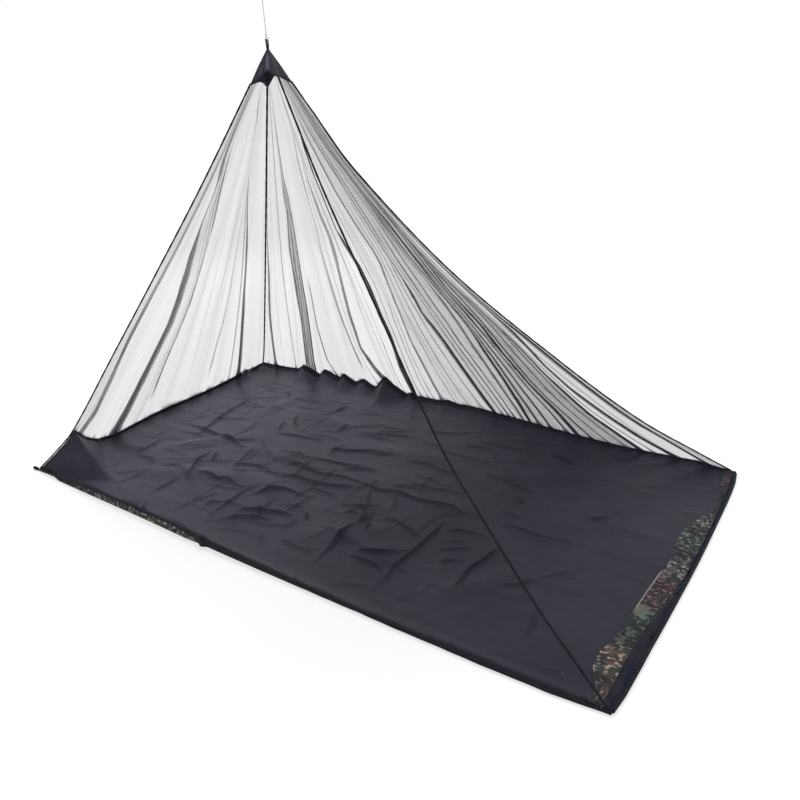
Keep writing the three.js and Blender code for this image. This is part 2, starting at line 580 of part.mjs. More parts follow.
// A band of webbing closed on itself, narrow where it is sewn and round at its far end.
function webbingRing({ width, height, tape, thickness }) {
  const outline = (inset) => {
    const radius = width / 2 - inset;
    const top = height - width / 2;
    const path = new THREE.Shape();
    path.moveTo(-LOOP_SEAT * radius, inset);
    path.lineTo(LOOP_SEAT * radius, inset);
    path.lineTo(radius, LOOP_SPREAD * height);
    path.lineTo(radius, top);
    path.absarc(0, top, radius, 0, Math.PI, false);
    path.lineTo(-radius, LOOP_SPREAD * height);
    path.closePath();
    return path;
  };
  const shape = outline(0);
  shape.holes.push(outline(thickness));
  return new THREE.ExtrudeGeometry(shape, { depth: tape, bevelEnabled: false, curveSegments: 5 });
}

function straightCord(from, to) {
  const section = new THREE.Shape();
  section.absarc(0, 0, CORD_RADIUS, 0, 2 * Math.PI, false);
  const path = new THREE.LineCurve3(vec(0, 0, from), vec(0, 0, to));
  return new THREE.ExtrudeGeometry(section, {
    steps: 6, bevelEnabled: false, extrudePath: path, curveSegments: 5,
  });
}

const knot = () => new THREE.SphereGeometry(KNOT_RADIUS, 8, 5).rotateX(Math.PI / 2);

// Pieces in the order they go together, each with its own finish
const finish = (color, roughness, opacity = 1) => new THREE.MeshStandardMaterial({
  color, roughness, metalness: 0, opacity, transparent: opacity < 1, side: THREE.DoubleSide,
});
const FINISH = {
  coated: finish(0x3c3c43, 0.62),
  net: finish(0x9a9ca6, 0.9, 0.35),
  trim: finish(0x17181c, 0.8),
  cap: finish(0x2b2f3b, 0.7),
  cord: finish(0xe9e9e6, 0.75),
};

const tent = new THREE.Group();
function piece(name, geometry, material, position = vec(0, 0, 0)) {
  const mesh = new THREE.Mesh(geometry, material);
  mesh.name = name;
  mesh.position.copy(position);
  tent.add(mesh);
  return mesh;
}

piece('groundsheet', groundsheet(), FINISH.coated);
for (const name of Object.keys(PANELS)) piece(name, netPanel(name), FINISH.net);
piece('seam_front_head', seamRoll('frontHead'), FINISH.trim);
piece('seam_front_foot', seamRoll('frontFoot'), FINISH.trim);
piece('seam_back_foot', seamRoll('backFoot'), FINISH.trim);
piece('seam_back_head', seamRoll('backHead'), FINISH.trim);

const rollShare = (BINDING_RADIUS + SEAM_RADIUS + 2 * GAP) / (2 * HALF_Y);
piece('binding_front', edgeBinding('front'), FINISH.trim);
piece('binding_back', edgeBinding('back'), FINISH.trim);
piece('binding_head', edgeBinding('head', CREST_AT + rollShare, 1 - rollShare), FINISH.trim);
piece('band_foot', footBand(), FINISH.trim);

piece('peak_cap', peakCap(), FINISH.cap);
const capTop = mix(PEAK.z, hemPoint('frontHead', 'frontFoot', 0.5).z, CAP_TOP);
const peakLoop = piece('peak_loop', webbingRing(LOOP), FINISH.trim,
  vec(PEAK.x - LOOP.tape / 2, PEAK.y, capTop + 2 * GAP));
peakLoop.rotation.set(Math.PI / 2, 0, Math.PI / 2, 'ZYX');

const pegLoop = piece('peg_loop', webbingRing(PEG_LOOP), FINISH.trim,
  vec(-HALF_X - 2 * GAP, -HALF_Y, 0));
pegLoop.rotation.z = Math.PI / 2;

// The cord is tied through the loop, runs straight up, and ends in a tied eye.
const tie = new THREE.TorusGeometry(CORD_TIE.radius, CORD_RADIUS, 6, 16).rotateX(Math.PI / 2);
tie.scale(1, 1, CORD_TIE.flatten);
const tieZ = peakLoop.position.z + LOOP.height + CORD_TIE.lift;
const lowKnotZ = tieZ + CORD_TIE.flatten * (CORD_TIE.radius + CORD_RADIUS) + GAP + KNOT_RADIUS;
const cordFrom = lowKnotZ + KNOT_RADIUS + GAP;
const topKnotZ = cordFrom + CORD_LENGTH + GAP + KNOT_RADIUS;
const eyeZ = topKnotZ + KNOT_RADIUS + GAP + EYE_RADIUS + CORD_RADIUS;
const eye = new THREE.TorusGeometry(EYE_RADIUS, CORD_RADIUS, 6, 20).rotateX(Math.PI / 2);
const overPeak = (z) => vec(PEAK.x, PEAK.y, z);
piece('cord_tie', tie, FINISH.cord, overPeak(tieZ));
piece('cord_knot', knot(), FINISH.cord, overPeak(lowKnotZ));
piece('hanging_cord', straightCord(cordFrom, cordFrom + CORD_LENGTH), FINISH.cord, overPeak(0));
piece('cord_top_knot', knot(), FINISH.cord, overPeak(topKnotZ));
piece('cord_eye', eye, FINISH.cord, overPeak(eyeZ));

// The hanging point is the inside of the eye, at its top.
tent.position.copy(overPeak(eyeZ + EYE_RADIUS - CORD_RADIUS)).negate();

const part = new THREE.Group();
part.add(tent);
export default part;
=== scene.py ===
import math

import bpy
import numpy as np
from mathutils import Matrix, Vector


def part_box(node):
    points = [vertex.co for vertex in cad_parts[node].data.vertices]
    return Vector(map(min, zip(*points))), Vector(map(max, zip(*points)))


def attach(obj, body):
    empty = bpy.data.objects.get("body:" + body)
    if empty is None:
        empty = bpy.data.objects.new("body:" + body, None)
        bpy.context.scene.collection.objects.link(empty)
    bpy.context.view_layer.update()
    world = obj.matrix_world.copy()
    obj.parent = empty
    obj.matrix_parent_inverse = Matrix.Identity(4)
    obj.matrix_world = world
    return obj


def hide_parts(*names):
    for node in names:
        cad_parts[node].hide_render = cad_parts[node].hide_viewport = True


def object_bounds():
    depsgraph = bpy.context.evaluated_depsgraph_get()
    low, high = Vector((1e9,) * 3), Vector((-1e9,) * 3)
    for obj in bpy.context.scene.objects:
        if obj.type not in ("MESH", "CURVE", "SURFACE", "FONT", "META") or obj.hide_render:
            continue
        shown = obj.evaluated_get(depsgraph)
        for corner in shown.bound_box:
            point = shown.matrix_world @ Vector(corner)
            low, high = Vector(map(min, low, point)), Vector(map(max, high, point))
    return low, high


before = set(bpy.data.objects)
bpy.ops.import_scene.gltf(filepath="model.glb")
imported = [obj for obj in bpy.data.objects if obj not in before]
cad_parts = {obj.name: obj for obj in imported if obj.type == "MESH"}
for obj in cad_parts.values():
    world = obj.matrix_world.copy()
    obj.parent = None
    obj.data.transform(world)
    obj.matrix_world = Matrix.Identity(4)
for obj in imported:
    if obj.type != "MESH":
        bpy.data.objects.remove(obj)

CAD_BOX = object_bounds()

# ---------------------------------------------------------------- Camera
# A person stands at the front corner of the foot end and looks down a little on the tent.
# The lens keeps the whole groundsheet and the cap in the frame.
VIEW_FROM = Vector((1.682, -1.754, -0.312))
VIEW_AZIMUTH, VIEW_ELEVATION, VIEW_ROLL = (math.radians(a) for a in (35.88, 23.16, -3.28))
VIEW_LENS = 32.49

view_back = Vector((math.sin(VIEW_AZIMUTH) * math.cos(VIEW_ELEVATION),
                    -math.cos(VIEW_AZIMUTH) * math.cos(VIEW_ELEVATION), math.sin(VIEW_ELEVATION)))
view_right = Vector((0, 0, 1)).cross(view_back).normalized()
view_up = view_back.cross(view_right)
rolled = Matrix.Rotation(VIEW_ROLL, 3, view_back)
camera_data = bpy.data.cameras.new("view")
camera_data.lens = VIEW_LENS
camera = bpy.data.objects.new("view", camera_data)
turned = Matrix((rolled @ view_right, rolled @ view_up, view_back)).transposed()
camera.matrix_world = Matrix.Translation(VIEW_FROM) @ turned.to_4x4()
bpy.context.collection.objects.link(camera)
bpy.context.scene.camera = camera

# ---------------------------------------------------------------- Hanging cord
# A thin pale braided cord is tied round the webbing loop of the cap and runs straight up, taut.
# It ends in a tied eye, which goes over the hook that the tent hangs from.
CORD_RADIUS = 0.0013
# The hollows between the strands are painted darker than the strands: painted shade.
CORD_STRANDS, CORD_HOLLOW_SHADE = (0.93, 0.93, 0.91), (0.82, 0.82, 0.80)
BRAID_PITCH = 2600.0        # radians of braid to a metre of cord


def nodes_of(name):
    """A new material, with its node tree and its shader."""
    material = bpy.data.materials.new(name)
    material.use_nodes = True
    return material, material.node_tree, material.node_tree.nodes["Principled BSDF"]


def add(tree, kind, inputs=None, **settings):
    """A shader node with its settings, and its inputs as values or as sockets of other nodes."""
    node = tree.nodes.new("ShaderNode" + kind)
    for key, value in settings.items():
        setattr(node, key, value)
    for key, value in (inputs or {}).items():
        if isinstance(value, bpy.types.NodeSocket):
            tree.links.new(value, node.inputs[key])
        else:
            node.inputs[key].default_value = value
    return node


def sums(tree, operation, *values):
    """The socket of a Math node."""
    return add(tree, "Math", dict(enumerate(values)), operation=operation).outputs[0]


def ramp(tree, value, stops, mode="LINEAR"):
    """The colour socket of a ramp with the stops (place, grey or colour)."""
    node = add(tree, "ValToRGB", {0: value})
    node.color_ramp.interpolation = mode
    elements = node.color_ramp.elements
    while len(elements) < len(stops):
        elements.new(0.5)
    for element, (place, colour) in zip(elements, stops):
        colour = colour if isinstance(colour, tuple) else (colour, colour, colour)
        element.position = place
        element.color = (*colour, 1)
    return node.outputs[0]


def bumped(tree, shader, height, distance):
    """Gives a shader relief from a height socket."""
    bump = add(tree, "Bump", {"Height": height, "Distance": distance, "Strength": 1.0})
    tree.links.new(bump.outputs[0], shader.inputs["Normal"])


def surfaced(tree, shader, shade, roughness, specular=0.5):
    """Gives a shader its colour socket, its roughness and its specular level."""
    tree.links.new(shade, shader.inputs["Base Color"])
    shader.inputs["Roughness"].default_value = roughness
    shader.inputs["Specular IOR Level"].default_value = specular


def mesh_piece(name, points, faces, cloth=None, smooth=True):
    """A new mesh object from an array of points, with its cloth places as a UV map."""
    mesh = bpy.data.meshes.new(name)
    mesh.from_pydata(np.asarray(points, float).tolist(), [], faces)
    mesh.shade_smooth() if smooth else mesh.shade_flat()
    if cloth is not None:
        corners = np.empty(len(mesh.loops), dtype=np.int32)
        mesh.loops.foreach_get("vertex_index", corners)
        layer = mesh.uv_layers.new(name="cloth")
        layer.data.foreach_set("uv", np.asarray(cloth, float)[corners].ravel())
    mesh.update()
    piece = bpy.data.objects.new(name, mesh)
    bpy.context.collection.objects.link(piece)
    return piece


def unit(vectors):
    """Vectors of length 1."""
    return vectors / np.maximum(np.linalg.norm(vectors, axis=-1, keepdims=True), 1e-9)


def tube_faces(rings, sides, closed=False):
    """Faces of a tube of rings of points, joined end to end or with its two ends shut."""
    faces = []
    for ring in range(rings if closed else rings - 1):
        a, b = ring * sides, (ring + 1) % rings * sides
        faces += [(a + k, a + (k + 1) % sides, b + (k + 1) % sides, b + k) for k in range(sides)]
    if not closed:
        faces.append(tuple(range(sides))[::-1])
        faces.append(tuple(range((rings - 1) * sides, rings * sides)))
    return faces


def swept(name, path, section, across=(0, 0, 1), closed=False):
    """A section of (aside, above) points moved along a path. It may change from point to point."""
    path = np.asarray(path, float)
    count = len(path)
    if closed:
        ahead = unit(np.roll(path, -1, 0) - np.roll(path, 1, 0))
    else:
        ahead = unit(np.gradient(path, axis=0))
    aside = np.empty_like(path)
    side = np.cross(np.asarray(across, float), ahead[0])
    for i in range(count):
        side = side - ahead[i] * (side @ ahead[i])
        side = side / np.linalg.norm(side)
        aside[i] = side
    above = np.cross(ahead, aside)
    section = np.asarray(section, float)
    if section.ndim == 2:
        section = np.repeat(section[None], count, 0)
    sides = section.shape[1]
    points = path[:, None] + aside[:, None] * section[..., :1] + above[:, None] * section[..., 1:2]
    run = np.concatenate([[0], np.cumsum(np.linalg.norm(np.diff(path, axis=0), axis=1))])
    around = np.linspace(0, 1, sides, endpoint=False) * np.abs(section).max() * math.tau
    cloth = np.stack(np.meshgrid(around, run), -1).reshape(-1, 2)
    return mesh_piece(name, points.reshape(-1, 3), tube_faces(count, sides, closed), cloth)


def circle(radius, sides, flat=1.0):
    """A round or flattened section."""
    turn = np.linspace(0, math.tau, sides, endpoint=False)
    return np.stack([radius * np.cos(turn), radius * flat * np.sin(turn)], -1)


cord_finish, tree, shader = nodes_of("braided_cord")
place = add(tree, "TexCoord").outputs["Object"]
split = add(tree, "SeparateXYZ", {0: place})
twist = sums(tree, "ARCTAN2", split.outputs[1], split.outputs[0])
strands = [sums(tree, "SINE", sums(tree, "MULTIPLY_ADD", split.outputs[2], BRAID_PITCH,
                                   sums(tree, "MULTIPLY", twist, turns))) for turns in (2.0, -2.0)]
braid = sums(tree, "MAXIMUM", *strands)
# Painted shade: the braid's hollows get the darker colour.
surfaced(tree, shader, ramp(tree, braid, [(0.0, CORD_HOLLOW_SHADE), (0.7, CORD_STRANDS)]), 0.75)
bumped(tree, shader, braid, 0.0003)

cord_low, cord_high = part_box("hanging_cord")
cord_curve = bpy.data.curves.new("cord_line", "CURVE")
cord_curve.dimensions = "3D"
cord_curve.bevel_depth = CORD_RADIUS
cord_curve.bevel_resolution = 3
cord_curve.use_fill_caps = True
cord_route = [(0.0, 0.0, z) for z in np.linspace(cord_low[2], cord_high[2], 18)]
spline = cord_curve.splines.new("POLY")
spline.points.add(len(cord_route) - 1)
for point, where in zip(spline.points, cord_route):
    point.co = (*where, 1)
cord = bpy.data.objects.new("cord_line", cord_curve)
bpy.context.collection.objects.link(cord)


def middle_and_room(node):
    """Middle of the box of a CAD node, and how far the middle line of a cord may go from it."""
    low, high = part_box(node)
    return (low + high) / 2, (high - low) / 2 - Vector((CORD_RADIUS,) * 3)


def cord_loop(name, node):
    """A closed loop of cord that fills the upright box of a CAD node."""
    middle, room = middle_and_room(node)
    turn = np.linspace(0, math.tau, 48, endpoint=False)
    path = np.stack([middle.x + room.x * np.sin(turn), middle.y + 0 * turn,
                     middle.z - room.z * np.cos(turn)], -1)
    return swept(name, path, circle(CORD_RADIUS, 12), across=(0, 1, 0), closed=True)


def cord_knot(name, node):
    """An overhand knot: the cord wound over itself inside the box of a CAD node."""
    middle, room = middle_and_room(node)
    turn = np.linspace(0, math.tau, 72, endpoint=False)
    ring = room.x / 3 * (2 + np.cos(3 * turn))
    path = np.stack([middle.x + ring * np.cos(2 * turn), middle.y + ring * np.sin(2 * turn),
                     middle.z + room.z * np.sin(3 * turn)], -1)
    return swept(name, path, circle(CORD_RADIUS, 10), closed=True)


def fitted(piece, node, finish):
    """Gives a piece its finish, and hangs it in the frame in place of its CAD node."""
    piece.data.materials.append(finish)
    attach(piece, "root")
    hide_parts(node)


eye = cord_loop("tied_eye", "cord_eye")
tie = cord_loop("cord_tie_loop", "cord_tie")
top_knot = cord_knot("eye_knot", "cord_top_knot")
low_knot = cord_knot("tie_knot", "cord_knot")
for piece, node in ((cord, "hanging_cord"), (eye, "cord_eye"), (tie, "cord_tie"),
                    (top_knot, "cord_top_knot"), (low_knot, "cord_knot")):
    fitted(piece, node, cord_finish)

# ---------------------------------------------------------------- Webbing loops
# Two short bands of black webbing, folded back on themselves: one stands on the tip of the cap,
# and the other lies at the front corner of the head end and takes a peg.
WEBBING_COLOUR, WEBBING_PICK = (0.008, 0.008, 0.010), 0.0012
LOOPS = {           # way ahead, width of the tape, its thickness, and how far its ends are sewn in
    "peak_loop": ((0, 0, 1), 0.006, 0.0015, 0.005),
    "peg_loop": ((-1, 0, 0), 0.009, 0.0018, 0.0),
}


def cloth_place(tree):
    """Sockets for the place on a cloth, and for its parts across and along it, in metres."""
    place = add(tree, "UVMap", uv_map="cloth").outputs[0]
    split = add(tree, "SeparateXYZ", {0: place})
    return place, split.outputs[0], split.outputs[1]


def threads(tree, place, pitch):
    """The socket of a wave of threads, pitch metres from one to the next."""
    return sums(tree, "SINE", sums(tree, "MULTIPLY", place, math.tau / pitch))


def noise(tree, place, scale, detail, roughness=0.5, distortion=0.0, kind="FBM"):
    """The socket of an uneven pattern."""
    inputs = {"Vector": place, "Scale": scale, "Detail": detail, "Roughness": roughness,
              "Distortion": distortion}
    return add(tree, "TexNoise", inputs, noise_type=kind).outputs[0]


def webbing(name, colour, pick):
    """Woven tape with ribs along it, pick metres from one crossing thread to the next."""
    material, tree, shader = nodes_of(name)
    place, across, along = cloth_place(tree)
    weave = sums(tree, "MULTIPLY", threads(tree, across, pick * 1.6), threads(tree, along, pick))
    height = sums(tree, "MULTIPLY_ADD", weave, 0.5, noise(tree, place, 60.0, 4.0))
    light = tuple(channel * 2 + 0.006 for channel in colour)
    surfaced(tree, shader, ramp(tree, height, [(0.15, colour), (0.95, light)]), 0.85, 0.2)
    bumped(tree, shader, height, 0.0004)
    return material


black_tape = webbing("black_webbing", WEBBING_COLOUR, WEBBING_PICK)


def rounded(width, thickness, corner):
    """A flat section with rounded edges."""
    points = []
    for cx, cy, start in ((1, 1, 0), (-1, 1, 1), (-1, -1, 2), (1, -1, 3)):
        for step in range(4):
            turn = (start + step / 3) * math.pi / 2
            points.append((cx * (width / 2 - corner) + corner * math.cos(turn),
                           cy * (thickness / 2 - corner) + corner * math.sin(turn)))
    return points


def tape_ring(name, node, ahead, tape, thickness, sewn):
    """A ring of tape in the box of a CAD node, sewn in at its narrow end and round ahead."""
    low, high = (np.array(corner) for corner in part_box(node))
    ahead = np.array(ahead, float)
    flat = unit(np.cross(ahead, (1, 0, 0) if ahead[2] else (0, 0, 1)))
    middle = (low + high) / 2
    height = abs((high - low) @ ahead)
    reach = abs((high - low) @ flat) / 2 - thickness / 2
    base = middle - ahead * (height / 2 - thickness / 2)
    top = height - thickness - reach
    side = [(0.8 * reach, 0.12 * height), (reach, 0.45 * height), (reach, 0.75 * top)]
    line = [(-0.55 * reach, -sewn), (0, -sewn), (0.55 * reach, -sewn), *side]
    line += [(reach * math.cos(a), top + reach * math.sin(a)) for a in np.linspace(0, math.pi, 13)]
    line += [(-aside, up) for aside, up in reversed(side)]
    path = [base + flat * aside + ahead * up for aside, up in line]
    return swept(name, path, rounded(tape, thickness, thickness * 0.45),
                 across=np.cross(ahead, np.cross(ahead, flat)), closed=True)


for node, sizes in LOOPS.items():
    ring = tape_ring(node.replace("_loop", "_webbing_loop"), node, *sizes)
    fitted(ring, node, black_tape)

# ---------------------------------------------------------------- Corner seams
# Four rolls of dark tape run from the points of the cap to the corners of the groundsheet, and the
# net is sewn into them. They hang in shallow curves under the weight of the net.
GROUND = np.array([0.253, 0.0, CAD_BOX[0][2]])   # middle of the groundsheet
HALF_LENGTH, HALF_WIDTH, BINDING_RADIUS = 1.096, 0.596, 0.004
PEAK = GROUND + (-0.253, 0.0, 1.377)
CORNERS = {
    "front_head": GROUND + (-HALF_LENGTH, -HALF_WIDTH, BINDING_RADIUS),
    "front_foot": GROUND + (HALF_LENGTH, -HALF_WIDTH, BINDING_RADIUS),
    "back_foot": GROUND + (HALF_LENGTH, HALF_WIDTH, BINDING_RADIUS),
    "back_head": GROUND + (-HALF_LENGTH, HALF_WIDTH, 0.030),
}
CAP_SLANT = {"front_head": 0.112, "front_foot": 0.080, "back_foot": 0.092, "back_head": 0.132}
SEAM_DROP = {       # share of the way down, millimetres below a straight line
    "front_head": [(0, 2), (0.25, 39), (0.46, 52), (0.64, 59), (0.84, 66), (0.92, 38), (1, 0)],
    "front_foot": [(0, 8), (0.1, 66), (0.2, 116), (0.34, 148), (0.48, 178), (0.6, 191), (0.68, 164),
                   (0.76, 134), (0.85, 94), (0.92, 50), (1, 0)],
    "back_foot": [(0, 0), (0.08, 70), (0.16, 134), (0.36, 185), (0.6, 160), (0.78, 115), (0.92, 44),
                  (1, 0)],
    "back_head": [(0, 2), (0.3, 17), (0.65, 28), (0.9, 26), (1, 0)],
}
SEAM_RADIUS = 0.0033
SEAM_STOP = {"front_head": 0.012, "front_foot": 0.013, "back_foot": 0.024, "back_head": 0.012}
SEAM_TUCK = 0.007           # how far a seam runs up under the cap
TRIM_COLOUR, TRIM_THREAD = (0.006, 0.0065, 0.009), 0.0011


def curved(rows, at):
    """Values of a table at places along it, with the slope running on through each row."""
    rows = np.asarray(rows, float)
    stations, values = rows[:, 0], rows[:, 1]
    i = np.clip(np.searchsorted(stations, at), 1, len(rows) - 1)
    before = np.maximum(np.arange(len(rows)) - 1, 0)
    after = np.minimum(np.arange(len(rows)) + 1, len(rows) - 1)
    slope = (values[after] - values[before]) / (stations[after] - stations[before])
    span = stations[i] - stations[i - 1]
    t = np.clip((at - stations[i - 1]) / span, 0, 1)
    return ((2 * t**3 - 3 * t**2 + 1) * values[i - 1] + (t**3 - 2 * t**2 + t) * span * slope[i - 1]
            + (3 * t**2 - 2 * t**3) * values[i] + (t**3 - t**2) * span * slope[i])


def seam_line(corner, share):
    """Points of a corner seam, from 0 at the cap to 1 at the ground."""
    share = np.asarray(share, float)
    way = CORNERS[corner] - PEAK
    cap = CAP_SLANT[corner] / np.linalg.norm(way)
    at = cap + (1 - cap) * share
    points = PEAK + way * at[..., None]
    points[..., 2] -= curved(SEAM_DROP[corner], at) / 1000
    return points


def dark_cloth(name, colour, thread):
    """Tightly woven dark tape with thread-sized relief and a little worn paleness."""
    material, tree, shader = nodes_of(name)
    place, across, along = cloth_place(tree)
    weave = sums(tree, "MULTIPLY", threads(tree, along, thread), threads(tree, across, thread))
    wear_and_crease_shade = noise(tree, place, 35.0, 5.0)
    pale = tuple(channel * 2.2 + 0.006 for channel in colour)
    shade = ramp(tree, sums(tree, "MULTIPLY_ADD", weave, 0.12, wear_and_crease_shade), [(0.35, colour), (0.85, pale)])
    surfaced(tree, shader, shade, 0.8, 0.2)
    bumped(tree, shader, sums(tree, "MULTIPLY_ADD", weave, 0.3, wear_and_crease_shade), 0.0005)
    return material


trim_finish = dark_cloth("dark_trim_tape", TRIM_COLOUR, TRIM_THREAD)

for corner in CORNERS:
    length = np.linalg.norm(CORNERS[corner] - PEAK)
    share = np.linspace(-SEAM_TUCK / length, 1 - SEAM_STOP[corner] / length, 150)
    line = seam_line(corner, share)
    ripple = 1 + 0.10 * np.sin(share * 190) + 0.06 * np.sin(share * 431 + 1)
    section = circle(SEAM_RADIUS, 8, 0.8)[None] * ripple[:, None, None]
    fitted(swept("seam_tape_" + corner, line, section), "seam_" + corner, trim_finish)

# ---------------------------------------------------------------- Cap
# A small pyramid of proofed cloth covers the place where the four net panels meet. Its hem arches up
# between four points, and each point is sewn to a corner seam.
CAP_SIDES = {       # height of the hem's arch between two points
    ("front_head", "front_foot"): 0.030, ("front_foot", "back_foot"): 0.011,
    ("back_head", "back_foot"): 0.030, ("front_head", "back_head"): 0.014,
}
CAP_TUCK, CAP_BULGE = 0.007, 0.0015
CAP_TOP, CAP_CLOTH = 0.03, 0.0016       # where its blunt tip is on the way down, and its thickness
CAP_ROUND, CAP_DOWN = 0.32, 0.1         # length of its cloth round the hem, and down a side
CAP_COLOUR, CAP_THREAD = (0.010, 0.012, 0.020), 0.0009
CAP_BLOTCHES = [(0.0, (0.016, 0.019, 0.034)), (0.48, (0.028, 0.046, 0.038)),
                (0.55, (0.022, 0.024, 0.040)), (0.64, (0.080, 0.080, 0.105))]
# The first colour is a painted highlight down the middle of the cap's front face; the second paints its
# foot end face lighter, as painted light.
CAP_PAINTED_HIGHLIGHT, CAP_LIT_FOOT_FACE = (0.13, 0.13, 0.18), (0.050, 0.057, 0.075)


def hem_line(left, right, share):
    """Points of the cap's hem between two of its points."""
    share = np.asarray(share, float)[..., None]
    a, b = seam_line(left, 0.0), seam_line(right, 0.0)
    arch = 4 * share * (1 - share)
    points = a + (b - a) * share
    up = unit(PEAK - points)
    inward = unit((PEAK - points) * (1, 1, 0))
    return points + up * CAP_SIDES[left, right] * arch + inward * CAP_TUCK * arch


along_side = np.linspace(0, 1, 18, endpoint=False)
hem = np.concatenate([
    hem_line("front_head", "front_foot", along_side), hem_line("front_foot", "back_foot", along_side),
    hem_line("back_head", "back_foot", 1 - along_side),
    hem_line("front_head", "back_head", 1 - along_side),
])
outward = unit((hem - PEAK) * (1, 1, 0))
count = len(hem)


def cap_ring(share, inset, lower):
    """One ring of the cap, share of the way from its tip to its hem."""
    swell = CAP_BULGE * 16 * share**2 * (1 - share) ** 2
    return PEAK + (hem - PEAK) * share + outward * (swell - inset) - np.array((0, 0, lower))


def mixed(tree, share, a, b, blend="MIX"):
    """The colour socket of a mix of two colours."""
    node = add(tree, "Mix", data_type="RGBA", blend_type=blend)
    for index, value in ((0, share), (6, a), (7, b)):
        if isinstance(value, bpy.types.NodeSocket):
            tree.links.new(value, node.inputs[index])
        else:
            node.inputs[index].default_value = (*value, 1) if isinstance(value, tuple) else value
    return node.outputs[2]


outer_shares = np.concatenate([np.linspace(CAP_TOP, 0.3, 6), np.linspace(0.36, 1, 14)])
inner_shares = outer_shares[::-1][:-5]
rings = [cap_ring(share, 0, 0) for share in outer_shares]
rings += [cap_ring(share, CAP_CLOTH, CAP_CLOTH * (1 - share)) for share in inner_shares]
points = np.concatenate(rings + [rings[0].mean(0)[None], rings[-1].mean(0)[None]])
pairs = [(k, (k + 1) % count) for k in range(count)]      # each point of a ring and the next
faces = []
for start in range(0, (len(rings) - 1) * count, count):
    faces += [(start + k, start + count + k, start + count + after, start + after)
              for k, after in pairs]
hub, last = len(rings) * count, (len(rings) - 1) * count
faces += [(hub, k, after) for k, after in pairs]
faces += [(hub + 1, last + after, last + k) for k, after in pairs]
cloth = [(k / count * CAP_ROUND, CAP_DOWN * share) for share in (*outer_shares, *inner_shares)
         for k in range(count)]
cap = mesh_piece("peak_cap_cloth", points, faces, cloth + [(0.0, 0.0), (0.0, 0.0)])

cap_finish = dark_cloth("proofed_cap_cloth", CAP_COLOUR, CAP_THREAD)
tree = cap_finish.node_tree
shader = tree.nodes["Principled BSDF"]
plain = shader.inputs["Base Color"].links[0].from_socket
blotch = noise(tree, add(tree, "TexCoord").outputs["Object"], 34.0, 2.0, distortion=0.5)
shade = mixed(tree, 0.7, plain, ramp(tree, blotch, CAP_BLOTCHES, "CONSTANT"))
place, across, along = cloth_place(tree)
round_cap = sums(tree, "DIVIDE", across, CAP_ROUND)
down_cap = sums(tree, "DIVIDE", along, CAP_DOWN)
# Painted highlight: a pale strip down the middle of the front face.
highlight_round = ramp(tree, round_cap, [(0.09, 0.0), (0.115, 1.0), (0.165, 1.0), (0.19, 0.0)])
highlight_down = ramp(tree, down_cap, [(0.15, 0.2), (0.40, 1.0), (0.85, 1.0), (0.98, 0.2)])
shade = mixed(tree, sums(tree, "MULTIPLY", highlight_round, highlight_down), shade, CAP_PAINTED_HIGHLIGHT)
# Painted light: the foot end face is painted lighter, as if lit.
lit_foot_face = ramp(tree, round_cap, [(0.2, 0.0), (0.26, 0.6), (0.48, 0.6), (0.5, 0.0)])
shade = mixed(tree, lit_foot_face, shade, CAP_LIT_FOOT_FACE)
surfaced(tree, shader, shade, 0.6, 0.35)
fitted(cap, "peak_cap", cap_finish)

